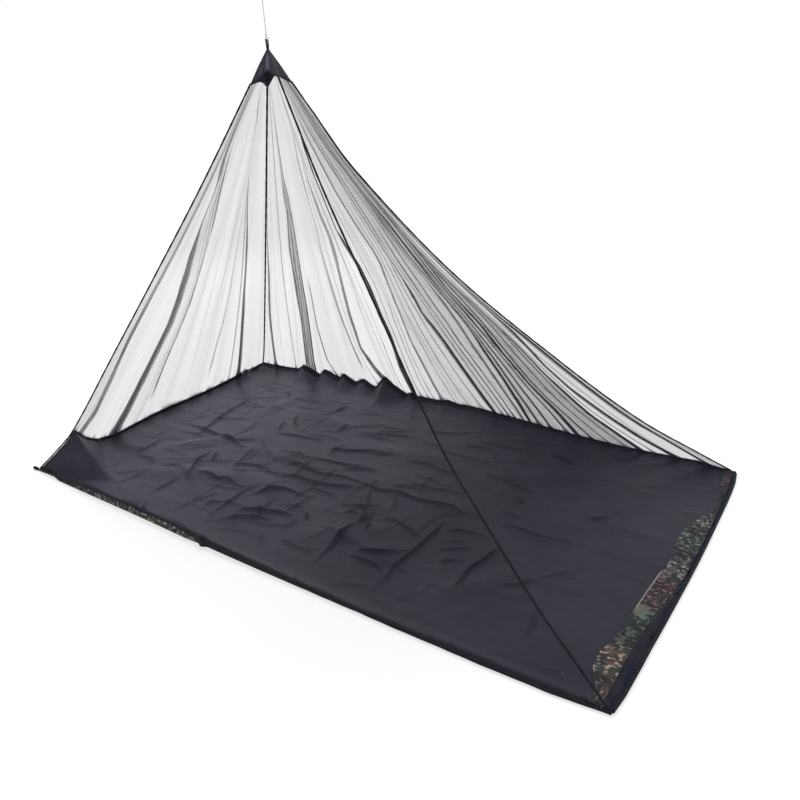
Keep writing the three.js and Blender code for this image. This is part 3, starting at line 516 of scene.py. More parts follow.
# ---------------------------------------------------------------- Edge bindings
# Dark tape is folded over the raw edges of the groundsheet and the net and sewn through. The folds of
# the net pull it up into small peaks along the back and head edges.
# Rows: place along the edge, millimetres inward and up, where the net's pleat starts at the cap, and
# how far that pleat stands out.
EDGES = {
    "front": [
        (0, 0, 0, 0, 0), (0.07, -4, 8, 0.1, 7), (0.13, -6, 18, 0.17, -5), (0.18, -7, 22, 0.23, 12),
        (0.235, -8, 21, 0.29, -4), (0.285, -9, 23, 0.34, 6), (0.348, -12, 24, 0.39, 12),
        (0.4, -15, 20, 0.44, -6), (0.47, -17, 16, 0.5, 14), (0.54, -18, 11, 0.57, -6),
        (0.6, -18, 8, 0.63, 10), (0.67, -18, 5, 0.69, -5), (0.74, -18, 5, 0.75, 13),
        (0.81, -17, 3, 0.81, -5), (0.87, -16, 3, 0.87, 11), (0.94, -12, 1, 0.93, -4),
        (1, 0, 0, 1, 0),
    ],
    "back": [
        (0, 0, 26, 0, 0), (0.07, 0, 30, 0.08, -6), (0.11, 2, 36, 0.13, 5), (0.128, 4, 62, 0.15, 15),
        (0.172, 2, 31, 0.2, -3), (0.186, 3, 62, 0.215, 3), (0.226, 5, 38, 0.25, 6),
        (0.24, 6, 62, 0.27, 9), (0.268, 5, 30, 0.3, 0), (0.288, 4, 56, 0.33, -6),
        (0.32, 8, 28, 0.36, 6), (0.347, 12, 92, 0.4, 16), (0.366, 9, 60, 0.42, 6),
        (0.396, 4, 26, 0.455, -5), (0.404, 3, 38, 0.462, -3), (0.418, 2, 27, 0.475, 0),
        (0.47, 0, 28, 0.52, 10), (0.492, 0, 38, 0.54, 4), (0.51, 0, 29, 0.56, -2),
        (0.54, 0, 33, 0.58, -5), (0.6, 0, 26, 0.65, 13), (0.67, 0, 17, 0.71, -5),
        (0.74, 0, 8, 0.77, 10), (0.81, 0, 3, 0.83, -6), (0.87, 0, 4, 0.88, 13),
        (0.94, 0, 10, 0.94, -4), (1, 0, 0, 1, 0),
    ],
    "head": [
        (0.14, 76, 76, 0.13, 8), (0.2, 22, 24, 0.21, -6), (0.28, 4, 2, 0.29, 15),
        (0.36, 0, 8, 0.37, -7), (0.44, 0, 14, 0.44, 8), (0.52, 2, 16, 0.51, -5),
        (0.6, 0, 13, 0.58, 11), (0.68, 0, 12, 0.65, -5), (0.76, 1, 15, 0.72, 8),
        (0.83, 3, 20, 0.79, -5), (0.89, 8, 30, 0.86, 11), (0.94, 2, 22, 0.93, -4), (1, 0, 26, 1, 0),
    ],
    "foot": [
        (0, 0, 0, 0, 0), (0.05, -6, 0, 0.07, -5), (0.14, -9, 0, 0.15, 12), (0.2, -10, 0, 0.21, -5),
        (0.28, -13, 0, 0.29, 9), (0.36, -15, 0, 0.37, 15), (0.44, -17, 0, 0.45, -6),
        (0.52, -18, 0, 0.53, 11), (0.6, -18, 0, 0.6, -5), (0.68, -17, 0, 0.67, 15),
        (0.76, -16, 0, 0.74, -5), (0.83, -15, 0, 0.81, 9), (0.89, -13, 0, 0.87, -5),
        (0.94, -10, 0, 0.93, 10), (1, 0, 0, 1, 0),
    ],
}
EDGE_RUNS = {       # from corner to corner, and the way inward
    "front": ("front_head", "front_foot", (0, 1)), "back": ("back_head", "back_foot", (0, -1)),
    "head": ("front_head", "back_head", (1, 0)), "foot": ("front_foot", "back_foot", (-1, 0)),
}
CREST = 0.83        # share of the front head seam that the groundsheet climbs up to
crest = seam_line("front_head", CREST)
CREST_AT = float((crest[1] - CORNERS["front_head"][1]) / (2 * HALF_WIDTH))
EDGES["head"].insert(0, (CREST_AT, (crest[0] - CORNERS["front_head"][0]) * 1000,
                         (crest[2] - GROUND[2] - BINDING_RADIUS) * 1000, 0, 0))


def edge_column(edge, column, at):
    """Values of a column of an edge's table."""
    rows = np.asarray(EDGES[edge], float)
    return np.interp(at, rows[:, 0], rows[:, column])


def edge_line(edge, at):
    """Points of an edge of the groundsheet, on the middle line of its binding."""
    at = np.asarray(at, float)
    start, end, inward = EDGE_RUNS[edge]
    points = CORNERS[start] + (CORNERS[end] - CORNERS[start]) * at[..., None]
    for axis in (0, 1):
        points[..., axis] += inward[axis] * edge_column(edge, 1, at) / 1000
    points[..., 2] = GROUND[2] + BINDING_RADIUS + edge_column(edge, 2, at) / 1000
    if edge == "head":
        climbing = at < CREST_AT
        up_seam = 1 - (1 - CREST) * at / CREST_AT
        points = np.where(climbing[..., None], seam_line("front_head", up_seam), points)
    return points


def eased(t):
    """A smooth step from 0 to 1."""
    t = np.clip(t, 0, 1)
    return t * t * (3 - 2 * t)


KNOTTED_AT = 0.424      # where the front binding's spare end is tied in a knot
FLAP_FROM = 0.40        # from here on the front binding's lower edge hangs down to the floor
roll_share = (BINDING_RADIUS + SEAM_RADIUS + 0.001) / (2 * HALF_WIDTH)
binding_spans = {"front": (0.0, 1.0), "back": (0.0, 1.0),
                 "head": (CREST_AT + roll_share, 1 - roll_share)}
for edge, (start, end) in binding_spans.items():
    shares = np.linspace(start, end, 260 if edge != "head" else 140)
    wander = 1 + 0.05 * np.sin(shares * 170) + 0.04 * np.sin(shares * 61)
    if edge == "front":
        wander += 1.9 * np.exp(-((shares - KNOTTED_AT) / 0.007) ** 2)
    else:
        wander += 0.25 + 0.22 * np.sin(shares * 231) * np.sin(shares * 97 + 1)
    section = circle(BINDING_RADIUS * 0.98, 12, 0.95)[None] * wander[:, None, None]
    line = edge_line(edge, shares)
    if edge == "front":
        room = np.maximum(line[:, 2] - GROUND[2] - BINDING_RADIUS, 0)
        hanging = 0.4 * np.sin(shares * 83) * np.sin(shares * 31 + 2)
        hanging += 1.2 * eased((shares - FLAP_FROM) / 0.03)
        flap = room * np.clip(hanging, 0.0, 0.97)
        lowest = section[:, :, 1] < -0.5 * BINDING_RADIUS
        section[:, :, 1] -= np.where(lowest, flap[:, None], 0)
    tape = swept("binding_tape_" + edge, line, section)
    fitted(tape, "binding_" + edge, trim_finish)

# ---------------------------------------------------------------- Foot band
# A flat strip of black cloth with a rolled outer edge, to which the foot end panel is sewn.
FOOT_BAND = [               # place along the foot end, and its width in millimetres
    (0, 29), (0.05, 32), (0.14, 35), (0.2, 34), (0.28, 32), (0.36, 22), (0.44, 12), (0.52, 12),
    (0.6, 11), (0.76, 11), (0.83, 12), (0.89, 13), (0.94, 14), (1, 14),
]
BAND_TOP = -0.0015       # its flat top below the middle line of the edge
BEAD_RADIUS = 0.0039     # of its rolled outer edge

clear = (BINDING_RADIUS + 0.0008) / (2 * HALF_WIDTH)
shares = np.linspace(clear, 1 - clear, 150)
width = np.interp(shares, *zip(*FOOT_BAND)) / 1000
bead_turn = np.radians(np.linspace(158, -70, 12))
bead = BEAD_RADIUS * np.stack([np.cos(bead_turn), np.sin(bead_turn)], -1)
band_points = []
for point, inner in zip(edge_line("foot", shares), BINDING_RADIUS - width):
    flange = [(inner - 0.001, -0.004), (inner - 0.001, -0.0037), (inner, -0.0037)]
    brow = [(inner, BAND_TOP - 0.0006), (inner + 0.0006, BAND_TOP)]
    section = [(-0.0052, BAND_TOP), *bead, *flange, *brow, (0.5 * inner - 0.0026, BAND_TOP)]
    band_points += [point + (aside, 0, above) for aside, above in section]
sides = len(section)
cloth = [(0.002 * k, 1.2 * share) for share in shares for k in range(sides)]
foot_band = mesh_piece("foot_band_strip", band_points, tube_faces(len(shares), sides), cloth)
fitted(foot_band, "band_foot", trim_finish)

# ---------------------------------------------------------------- Groundsheet
# Coated cloth, dark grey inside and printed outside with plain patches of green, brown and tan. It
# is turned up into a low rim, lies in loose creases, and its foot end is turned back on itself.
SHEET_HALF = 0.001          # half its thickness
GAP = 0.0004                # between its turned foot end and the foot band
TURN_RADIUS = 0.0016
TURNED_BACK = [             # place along the foot end, and millimetres turned back there
    (0, 28), (0.05, 32), (0.09, 58), (0.14, 62), (0.17, 50), (0.2, 47), (0.28, 48), (0.36, 56),
    (0.44, 62), (0.48, 54), (0.52, 56), (0.56, 66), (0.6, 66), (0.64, 63), (0.68, 50), (0.73, 34),
    (0.76, 16), (0.83, 10), (0.89, 20), (0.94, 24), (1, 24),
]
BROAD_CREASES = [   # middle, half length, direction, half width and height, in millimetres and degrees
    (-560, -330, 300, 24, 60, 15), (-700, -120, 260, 48, 56, 12), (-330, -60, 330, 8, 52, 13),
    (-220, -250, 280, -12, 56, 14), (40, -120, 340, -20, 54, 12), (200, -330, 230, 34, 60, 13),
    (-690, 300, 210, 82, 50, 11), (-380, 260, 280, -6, 56, 12), (60, 180, 300, 12, 60, 10),
    (430, -60, 260, -30, 62, 9), (500, 260, 280, 10, 66, 8), (640, -360, 180, 58, 56, 10),
]
# Sharp creases: height, half width, and the places that each runs through, in millimetres from the
# middle of the sheet. The first rows are where the sheet was folded for its bag.
SHARP_CREASES = [
    (8, 13, [(177, -221), (181, -315), (174, -357), (185, -442), (185, -544)]),
    (6, 13, [(402, -128), (410, -196), (410, -315), (402, -391), (414, -476), (402, -553)]),
    (7, 13, [(612, -170), (609, -230), (600, -281), (588, -312), (600, -374), (596, -420)]),
    (5, 14, [(-290, -270), (-287, -340), (-278, -420), (-280, -520)]),
    (8, 15, [(-628, -160), (-617, -230), (-602, -264), (-565, -306), (-542, -350)]),
    (5, 14, [(-572, -370), (-566, -442), (-580, -500)]),
    (7, 16, [(-898, -176), (-880, -240), (-874, -285), (-890, -330)]),
    (7, 16, [(-884, 300), (-861, 246), (-857, 170), (-839, 93), (-820, 16), (-797, -60),
        (-785, -110)]),
    (3, 16, [(777, -247), (805, -210), (832, -170)]),
    (3, 16, [(820, -370), (838, -430), (836, -480)]),
    (7, 14, [(-980, -52), (-917, -39), (-835, -39), (-767, -47), (-670, -60), (-610, -64),
        (-550, -85), (-505, -72)]),
    (8, 12, [(-600, -160), (-578, -190), (-556, -225)]),
    (7, 15, [(-470, -206), (-430, -181), (-370, -166), (-295, -170)]),
    (6, 14, [(-535, -323), (-482, -302), (-437, -313), (-400, -289), (-340, -308), (-272, -281)]),
    (8, 14, [(-257, -180), (-220, -162), (-145, -153), (-107, -160), (-2, -132), (60, -126)]),
    (8, 14, [(-250, -317), (-212, -272), (-145, -251), (-55, -247)]),
    (5, 13, [(-107, -196), (-25, -187), (20, -200)]),
    (9, 15, [(-230, -415), (-160, -387), (-70, -362), (-20, -356)]),
    (9, 15, [(-244, -495), (-175, -442), (-77, -404)]),
    (6, 15, [(-237, -538), (-145, -512), (-90, -490)]),
    (5, 16, [(-400, -34), (-325, -38), (-250, -30)]),
    (7, 14, [(-380, -88), (-265, -81), (-152, -100), (-30, -88), (50, -90), (125, -86), (185, -66),
        (260, -75), (320, -61), (380, -60), (425, -79), (475, -72)]),
    (4, 16, [(560, -66), (620, -60), (687, -68), (800, -51)]),
    (6, 17, [(-295, -51), (-190, -26), (-122, -9), (-55, 10), (35, 8)]),
    (6, 18, [(-240, 74), (-175, 85), (-115, 110), (-30, 142)]),
    (5, 20, [(-220, 237), (-145, 254), (-70, 288), (0, 308)]),
    (5, 18, [(-520, 76), (-445, 93), (-295, 112)]),
    (5, 15, [(-557, 254), (-527, 195), (-475, 152)]),
    (5, 14, [(-568, 180), (-540, 130), (-518, 88)]),
    (7, 15, [(-430, 430), (-424, 380), (-432, 350)]),
    (5, 18, [(-300, 270), (-290, 235), (-305, 200)]),
    (4, 17, [(120, -28), (170, -13), (215, 12), (260, 4), (312, 21), (385, 36)]),
    (7, 12, [(92, -196), (140, -204), (166, -238), (182, -280)]),
    (4, 13, [(432, -185), (470, -155), (552, -149)]),
    (3, 12, [(452, -232), (490, -208), (526, -196)]),
    (4, 12, [(460, -283), (500, -252), (540, -221)]),
    (5, 12, [(498, -325), (520, -308), (548, -286)]),
    (6, 14, [(256, -402), (320, -374), (376, -347)]),
    (6, 14, [(250, -430), (320, -428), (384, -438)]),
    (6, 15, [(286, -559), (340, -534), (390, -518)]),
    (5, 14, [(226, -232), (260, -213), (320, -230), (384, -249)]),
    (6, 12, [(212, -266), (222, -292), (232, -318)]),
    (6, 12, [(96, -252), (120, -236), (142, -250)]),
    (6, 13, [(-10, -320), (8, -334), (22, -352)]),
    (6, 13, [(-58, -474), (-30, -500), (0, -530)]),
    (6, 13, [(20, -470), (80, -478), (150, -472)]),
    (4, 17, [(365, 180), (455, 178), (500, 161), (570, 160)]),
    (4, 15, [(528, 103), (548, 92), (568, 74)]),
    (4, 18, [(777, 90), (805, 112), (834, 136)]),
    (5, 22, [(500, 424), (560, 416), (610, 398)]),
    (4, 24, [(240, 399), (330, 396), (425, 410)]),
    (4, 16, [(525, 2), (560, -4), (602, -10)]),
    (6, 20, [(-1080, -490), (-990, -500), (-902, -510), (-820, -470)]),
    (5, 18, [(-700, -336), (-655, -318), (-608, -302)]),
    (5, 15, [(-332, -455), (-338, -430), (-322, -412)]),
    (4, 16, [(700, -330), (745, -300), (760, -260)]),
    (4, 18, [(-1000, 170), (-960, 120), (-940, 60)]),
    (5, 18, [(-960, -120), (-930, -150), (-950, -190)]),
    (4, 20, [(-800, 430), (-740, 400), (-700, 340)]),
]
LOOSE_CREASES = 230         # small sharp creases strewn over the rest of it
CREASE_RISE = 1.7           # how much higher the sharp creases stand than their rows say
RIM_REACH, LIFT_REACH = 0.024, 1.5      # how far in it rises to a rim, and for each metre of lift
BLEND = 0.07                # share of its length and width that takes up the curves of its edges
FREE_ENDS, FREE_SIDES = 7, 6            # its creases fade out over 1/7 and 1/6 of it
CLIMB_HEIGHT, CLIMB_INSET, CLIMB_DROP = 0.030, 0.5, 2   # where it climbs the front head seam
WALL_FROM, WALL_OVER = 2, 6             # lift of the front rim at which it stands up as a wall
WALL_FOOT_AT, WALL_FOOT = (0.39, 0.42), (0.005, 0.0012)     # how far out that wall's foot is
SHEET_INSET = BINDING_RADIUS - 0.0012   # its raw edge is inside the binding
SIDE_SHARE = SHEET_INSET / (2 * HALF_WIDTH)

CLOTH_RUN, CLOTH_WIDTH = 2.19, 1.19     # cloth from the head to the foot's turn, and side to side
SHEET_LENGTH = 2.2                      # as it lies
SHEET_THREAD = 0.0016
SELVEDGE, TAPE_WIDTH = 0.004, 0.013     # a dark tape is sewn along the inside of its rims
RIM_WIDTH, HEM_FROM = 0.03, 0.0462      # of the front rim, and where the painted highlight along the foot end's hem starts
# Along the inside from head to foot: painted sheen, lightest a little way in from the head end and dark
# towards the foot.
INSIDE_PAINTED_SHEEN = [(0.0, (0.030, 0.030, 0.042)), (0.04, (0.044, 0.044, 0.062)),
                (0.12, (0.060, 0.060, 0.084)), (0.65, (0.016, 0.016, 0.025))]
# The second colour darkens the crease ridges: painted shade, with some wear.
INSIDE_CLOUD, INSIDE_CREASE_SHADE = (0.060, 0.060, 0.080), (0.004, 0.004, 0.006)
INSIDE_TAPE = (0.008, 0.008, 0.011)
PRINT_PATCHES = [(0.0, (0.016, 0.017, 0.016)), (0.40, (0.062, 0.046, 0.040)),
                 (0.50, (0.016, 0.018, 0.016)), (0.60, (0.20, 0.18, 0.16))]
PRINT_LEAF, PRINT_FLECK = (0.022, 0.038, 0.029), (0.30, 0.27, 0.25)
LEAF_SHARES = [(0.0, 0.0), (0.58, 1.0)]
FLECK_SHARES = [(0.0, 0.0), (0.56, 0.4), (0.61, 0.85)]
# The fold of the foot end is dark; the pale line along its turned-back hem is a painted highlight.
PRINT_FOLD, PRINT_HEM_HIGHLIGHT = (0.010, 0.010, 0.012), (0.34, 0.31, 0.30)
# How light the print is along the turned-back foot end, along the front rim, and elsewhere.
TURNED_TINTS = [
    (0.0, 0.3), (0.04, (0.9, 0.8, 0.8)), (0.07, (0.25, 0.22, 0.22)), (0.1, (1.5, 1.3, 1.2)),
    (0.15, (1.4, 1.2, 1.0)), (0.185, (0.30, 0.38, 0.32)), (0.28, (0.5, 0.75, 0.6)),
    (0.34, (0.75, 0.5, 0.5)), (0.42, (0.75, 0.5, 0.5)), (0.45, (1.5, 1.5, 1.6)), (0.5, (1.3, 1.3, 1.4)),
    (0.54, 0.35), (0.6, (0.7, 1.0, 0.85)), (0.66, (0.35, 0.38, 0.35)), (0.7, (1.4, 1.5, 1.4)),
    (0.76, 0.3), (0.87, 0.2), (0.92, (0.9, 0.6, 0.6)), (1.0, (0.5, 0.35, 0.35)),
]
RIM_TINTS = [(0.0, 0.3), (0.10, 0.4), (0.14, (1.0, 1.1, 1.1)), (0.27, (1.3, 1.45, 1.45)), (0.38, 1.5),
             (0.41, 0.4)]
PLAIN_TINT = (0.8, 0.8, 0.8)


def rise(edge, at, distance):
    """How far the sheet rises towards an edge."""
    height = edge_line(edge, at)[..., 2] - GROUND[2] - SHEET_HALF
    reach = RIM_REACH + LIFT_REACH * (height - BINDING_RADIUS)
    return height * np.clip(1 - distance / reach, 0, 1) ** 2


def broad_height(x, y):
    """Height of the broad creases, in millimetres like x and y, which start at its middle."""
    total = np.zeros_like(x)
    for middle_x, middle_y, half, turn, wide, high in BROAD_CREASES:
        turn = math.radians(turn)
        dx, dy = x - middle_x, y - middle_y
        ahead = (dx * math.cos(turn) + dy * math.sin(turn)) / half
        aside = (dy * math.cos(turn) - dx * math.sin(turn)) / wide
        inside = np.maximum(0, 1 - ahead**2) * np.maximum(0, 1 - aside**2)
        total += high * inside**2
    return total


def sharp_height(x, y):
    """Height of the sharp creases, in millimetres like x and y, and how dark their ridges are painted,
    as painted shade with some wear.
    """
    total, wear_and_crease_shade = np.zeros_like(x), np.zeros_like(x)
    scatter = np.random.RandomState(11)
    loose = []
    for _ in range(LOOSE_CREASES):
        middle = np.array((scatter.uniform(-1020, 980), scatter.uniform(-540, 540)))
        calm = 1 - 0.75 * eased((middle[0] - 100) / 600)
        across = scatter.rand() < 0.35
        turn = math.radians(scatter.normal(86, 14) if across else scatter.normal(8, 15))
        ahead = np.array((math.cos(turn), math.sin(turn))) * scatter.uniform(35, 120)
        aside = np.array((-ahead[1], ahead[0])) * scatter.uniform(-0.25, 0.25)
        run = [middle - ahead, middle + aside, middle + ahead]
        loose.append((scatter.uniform(1.2, 4.5) * calm, scatter.uniform(10, 18), run))
    for high, wide, run in SHARP_CREASES + loose:
        run = np.asarray(run, float)
        stations = np.linspace(0, len(run) - 1, 4 * len(run))
        run = np.stack([np.interp(stations, np.arange(len(run)), run[:, k]) for k in (0, 1)], -1)
        run[1:-1] = (run[:-2] + 2 * run[1:-1] + run[2:]) / 4
        least, most = run.min(0) - wide, run.max(0) + wide
        near = (x > least[0]) & (x < most[0]) & (y > least[1]) & (y < most[1])
        ridge = np.zeros_like(x[near])
        for k, (start, end) in enumerate(zip(run[:-1], run[1:])):
            step = end - start
            dx, dy = x[near] - start[0], y[near] - start[1]
            ahead = np.clip((dx * step[0] + dy * step[1]) / (step @ step), 0, 1)
            away = np.hypot(dx - ahead * step[0], dy - ahead * step[1]) / wide
            along = (k + ahead) / (len(run) - 1)
            ridge = np.maximum(ridge, np.clip(1 - away, 0, 1) ** 1.3 * (4 * along * (1 - along)) ** 0.6)
        total[near] += high * ridge
        # How dark each crease ridge is painted: painted shade of the creases, with some wear.
        wear_and_crease_shade[near] = np.maximum(wear_and_crease_shade[near], np.clip(ridge * 2.0 - 0.15, 0, 1) * min(high / 6, 1))
    return total * CREASE_RISE, wear_and_crease_shade


def ground_points(u, v):
    """Middle surface of the sheet, u from head to foot and v from front to back, with its front
    edge, how far that stands up as a wall, and how dark its crease ridges are painted, as
    painted shade with some wear."""
    low = np.array((-HALF_LENGTH, -HALF_WIDTH)) + GROUND[:2]
    head = edge_line("head", v)
    turn_x = (edge_line("foot", v)[..., 0] + BINDING_RADIUS - np.interp(v, *zip(*FOOT_BAND)) / 1000
              - GAP - TURN_RADIUS - SHEET_HALF)
    climb = eased((head[..., 2] - GROUND[2] - BINDING_RADIUS) / CLIMB_HEIGHT)
    head_x = head[..., 0] + SHEET_INSET * (1 + (CLIMB_INSET - 1) * climb)
    length, width = 2 * HALF_LENGTH, 2 * HALF_WIDTH
    x = (low[0] + length * u + np.clip(1 - u / BLEND, 0, 1) * (head_x - low[0])
         + np.clip(1 - (1 - u) / BLEND, 0, 1) * (turn_x - low[0] - length))
    along = (x - low[0]) / length
    front, back = edge_line("front", along), edge_line("back", along)
    y = (low[1] + width * v + np.clip(1 - (v - SIDE_SHARE) / BLEND, 0, 1) * (front[..., 1] - low[1])
         + np.clip(1 - (1 - SIDE_SHARE - v) / BLEND, 0, 1) * (back[..., 1] - low[1] - width))
    from_head, from_front = x - head_x, y - front[..., 1] - SHEET_INSET
    from_back = back[..., 1] - SHEET_INSET - y
    wall = eased((edge_column("front", 2, along) - WALL_FROM) / WALL_OVER)
    nothing = np.zeros_like(v)
    lifted = (rise("head", v, from_head) + (1 - wall) * rise("front", along, from_front)
              + rise("back", along, from_back))

    def share(edge, at, distance):
        return rise(edge, at, distance) / rise(edge, at, nothing)

    counted = (rise("back", nothing, nothing) * share("head", nothing + 1, from_head)
               * share("back", nothing, from_back)
               + rise("front", nothing, nothing) * share("head", nothing, from_head)
               * share("front", nothing, from_front))
    hung = np.where(u == 0, CLIMB_DROP * SHEET_INSET * np.sqrt(climb), 0)
    free = (eased(FREE_ENDS * u) * eased(FREE_ENDS * (1 - u))
            * eased(FREE_SIDES * v) * eased(FREE_SIDES * (1 - v)))
    from_middle = (x - GROUND[0]) * 1000, (y - GROUND[1]) * 1000
    sharp, wear_and_crease_shade = sharp_height(*from_middle)
    creased = (broad_height(*from_middle) + sharp) / 1000
    height = np.maximum(0, lifted - counted) + creased * free
    z = GROUND[2] + SHEET_HALF + height - hung
    return np.stack([x, y, z], -1), front, wall, wear_and_crease_shade * free


us = np.unique(np.concatenate([np.linspace(0, 0.03, 8), np.linspace(0.03, 0.97, 260),
                               np.linspace(0.97, 1, 8)]))
vs = np.unique(np.concatenate([np.linspace(0.035, 0.965, 138),
                               np.linspace(0.965, 1 - SIDE_SHARE, 10)]))
flat, _, _, wear_and_crease_shade = ground_points(*np.meshgrid(us, vs))
foot_row, front, wall, _ = ground_points(us, np.full_like(us, 0.012))
rim_row, _, _, _ = ground_points(us, np.full_like(us, SIDE_SHARE))
turn = -wall * math.pi / 2
edge_y = np.where(wall > 0, front[:, 1] + SHEET_INSET * np.cos(turn), rim_row[:, 1])
edge_z = np.where(wall > 0, front[:, 2] + SHEET_INSET * np.sin(turn), rim_row[:, 2])
rim_row = np.stack([rim_row[:, 0], edge_y, edge_z], -1)
wall_foot = np.interp(us, WALL_FOOT_AT, WALL_FOOT)
foot_y = foot_row[:, 1] + (front[:, 1] - wall_foot - foot_row[:, 1]) * wall
foot_z = foot_row[:, 2] + (GROUND[2] + SHEET_HALF - foot_row[:, 2]) * wall
foot_row = np.stack([foot_row[:, 0], foot_y, foot_z], -1)
wall_rows = [rim_row + (foot_row - rim_row) * t for t in (0, 0.2, 0.4, 0.6, 0.8, 0.93)]
toe_rows = [foot_row + (flat[0] - foot_row) * t for t in (0, 0.04, 0.1, 0.25, 0.5, 0.75)]
grid = np.concatenate([np.stack(wall_rows + toe_rows), flat])

row_v = np.concatenate([np.linspace(SIDE_SHARE, 0.03, 12), vs])
turned_width = np.interp(row_v, *zip(*TURNED_BACK)) / 1000
turned_shares = np.linspace(0, 1, 12)
bend = [(TURN_RADIUS * math.cos(a), TURN_RADIUS * (1 + math.sin(a)))
        for a in np.radians((-60, -30, 0, 30, 60))]
turned_over = [(-share * turned_width, 2 * TURN_RADIUS) for share in turned_shares]
foot_end = []
for ahead, up in bend + turned_over:
    column = grid[:, -1].copy()
    column[:, 0] += ahead
    column[:, 2] += up
    foot_end.append(column)
grid = np.concatenate([grid, np.stack(foot_end, 1)], 1)


def normals_of(grid):
    """Unit normals of a grid of points, upward where it lies flat."""
    return unit(np.cross(np.gradient(grid, axis=1), np.gradient(grid, axis=0)))


def grid_faces(place):
    """Faces of a grid of point numbers."""
    corners = place[:-1, :-1], place[:-1, 1:], place[1:, 1:], place[1:, :-1]
    return np.stack(corners, -1).reshape(-1, 4)


def doubled(grid, half):
    """Points and faces of a thin solid round a grid: the upper face, the lower face, and the rim."""
    rows, cols = grid.shape[:2]
    out = normals_of(grid) * half
    points = np.concatenate([(grid + out).reshape(-1, 3), (grid - out).reshape(-1, 3)])
    place = np.arange(rows * cols).reshape(rows, cols)
    upper = grid_faces(place)
    lower = (upper + rows * cols)[:, ::-1]
    loop = np.concatenate([place[0, :-1], place[:-1, -1], place[-1, :0:-1], place[:0:-1, 0]])
    after = np.roll(loop, -1)
    rim = np.stack([after, loop, loop + rows * cols, after + rows * cols], -1)
    return points, np.concatenate([upper, lower, rim]).tolist()


def marked(piece, name, values):
    """Keeps a value for each point of a piece, for its finish to read."""
    layer = piece.data.attributes.new(name, "FLOAT", "POINT")
    layer.data.foreach_set("value", np.asarray(values, np.float32).ravel())


points, faces = doubled(grid, SHEET_HALF)
run_down = np.concatenate([us * CLOTH_RUN, CLOTH_RUN + 0.0008 * np.arange(len(bend)),
                           CLOTH_RUN + 0.005 + 0.004 * np.arange(len(turned_over))])
cloth = np.stack(np.meshgrid(run_down, row_v * CLOTH_WIDTH), -1).reshape(-1, 2)
sheet = mesh_piece("groundsheet_cloth", points, faces, np.concatenate([cloth, cloth]))
crease_shade_lines = np.zeros((2, *grid.shape[:2]))
crease_shade_lines[0, -len(vs):, :len(us)] = wear_and_crease_shade
marked(sheet, "wear_and_crease_shade", crease_shade_lines)

inside_finish, tree, shader = nodes_of("coated_inside")
place, across, along = cloth_place(tree)
down_sheet = sums(tree, "DIVIDE", across, SHEET_LENGTH)
cloud = noise(tree, place, 3.2, 6.0, roughness=0.6)
# The ramp along the length paints sheen on the inside of the sheet.
shade = mixed(tree, ramp(tree, cloud, [(0.35, 0.0), (0.8, 0.4)]), ramp(tree, down_sheet, INSIDE_PAINTED_SHEEN),
              INSIDE_CLOUD)
# Painted shade with some wear: the crease ridges are darker and less glossy.
wear_and_crease_shade = add(tree, "Attribute", attribute_name="wear_and_crease_shade").outputs["Fac"]
shade = mixed(tree, sums(tree, "MULTIPLY", wear_and_crease_shade, 0.6), shade, INSIDE_CREASE_SHADE)
from_sides = sums(tree, "MINIMUM", sums(tree, "SUBTRACT", along, SELVEDGE),
                  sums(tree, "SUBTRACT", CLOTH_WIDTH - SELVEDGE, along))
taped = sums(tree, "LESS_THAN", sums(tree, "MINIMUM", from_sides, across), TAPE_WIDTH)
surfaced(tree, shader, mixed(tree, taped, shade, INSIDE_TAPE), 0.42)
tree.links.new(sums(tree, "MULTIPLY_ADD", wear_and_crease_shade, -0.14, 0.18), shader.inputs["Specular IOR Level"])
pulled = add(tree, "Mapping", {"Vector": place, "Rotation": (0, 0, math.radians(-32)),
                               "Scale": (2.4, 8.5, 1.0)}).outputs[0]
creases = noise(tree, pulled, 1.0, 5.0, distortion=0.8, kind="RIDGED_MULTIFRACTAL")
fine = noise(tree, place, 34.0, 5.0, distortion=0.6)
grain = sums(tree, "MULTIPLY", threads(tree, across, SHEET_THREAD), threads(tree, along, SHEET_THREAD))
relief = sums(tree, "MULTIPLY_ADD", creases, 0.75, sums(tree, "MULTIPLY", fine, 0.26))
bumped(tree, shader, sums(tree, "MULTIPLY_ADD", grain, 0.012, relief), 0.02)

outside_finish, tree, shader = nodes_of("printed_outside")
place, across, along = cloth_place(tree)
patches = ramp(tree, noise(tree, place, 21.0, 3.0, distortion=0.5), PRINT_PATCHES, "CONSTANT")
leaves = ramp(tree, noise(tree, place, 32.0, 2.0, distortion=0.8), LEAF_SHARES, "CONSTANT")
flecks = ramp(tree, noise(tree, place, 95.0, 2.0), FLECK_SHARES, "CONSTANT")
pattern = mixed(tree, flecks, mixed(tree, leaves, patches, PRINT_LEAF), PRINT_FLECK)
foot_run = sums(tree, "DIVIDE", along, CLOTH_WIDTH)
rim_tint = ramp(tree, sums(tree, "DIVIDE", across, SHEET_LENGTH), RIM_TINTS)
tint = mixed(tree, sums(tree, "LESS_THAN", along, RIM_WIDTH), PLAIN_TINT, rim_tint)
turned_tint = ramp(tree, foot_run, TURNED_TINTS)
tint = mixed(tree, sums(tree, "GREATER_THAN", across, CLOTH_RUN), tint, turned_tint)
shade = mixed(tree, 1.0, pattern, tint, "MULTIPLY")
fold = sums(tree, "MULTIPLY", sums(tree, "GREATER_THAN", across, CLOTH_RUN - 0.004),
            sums(tree, "LESS_THAN", across, CLOTH_RUN + 0.0055))
shade = mixed(tree, fold, shade, PRINT_FOLD)
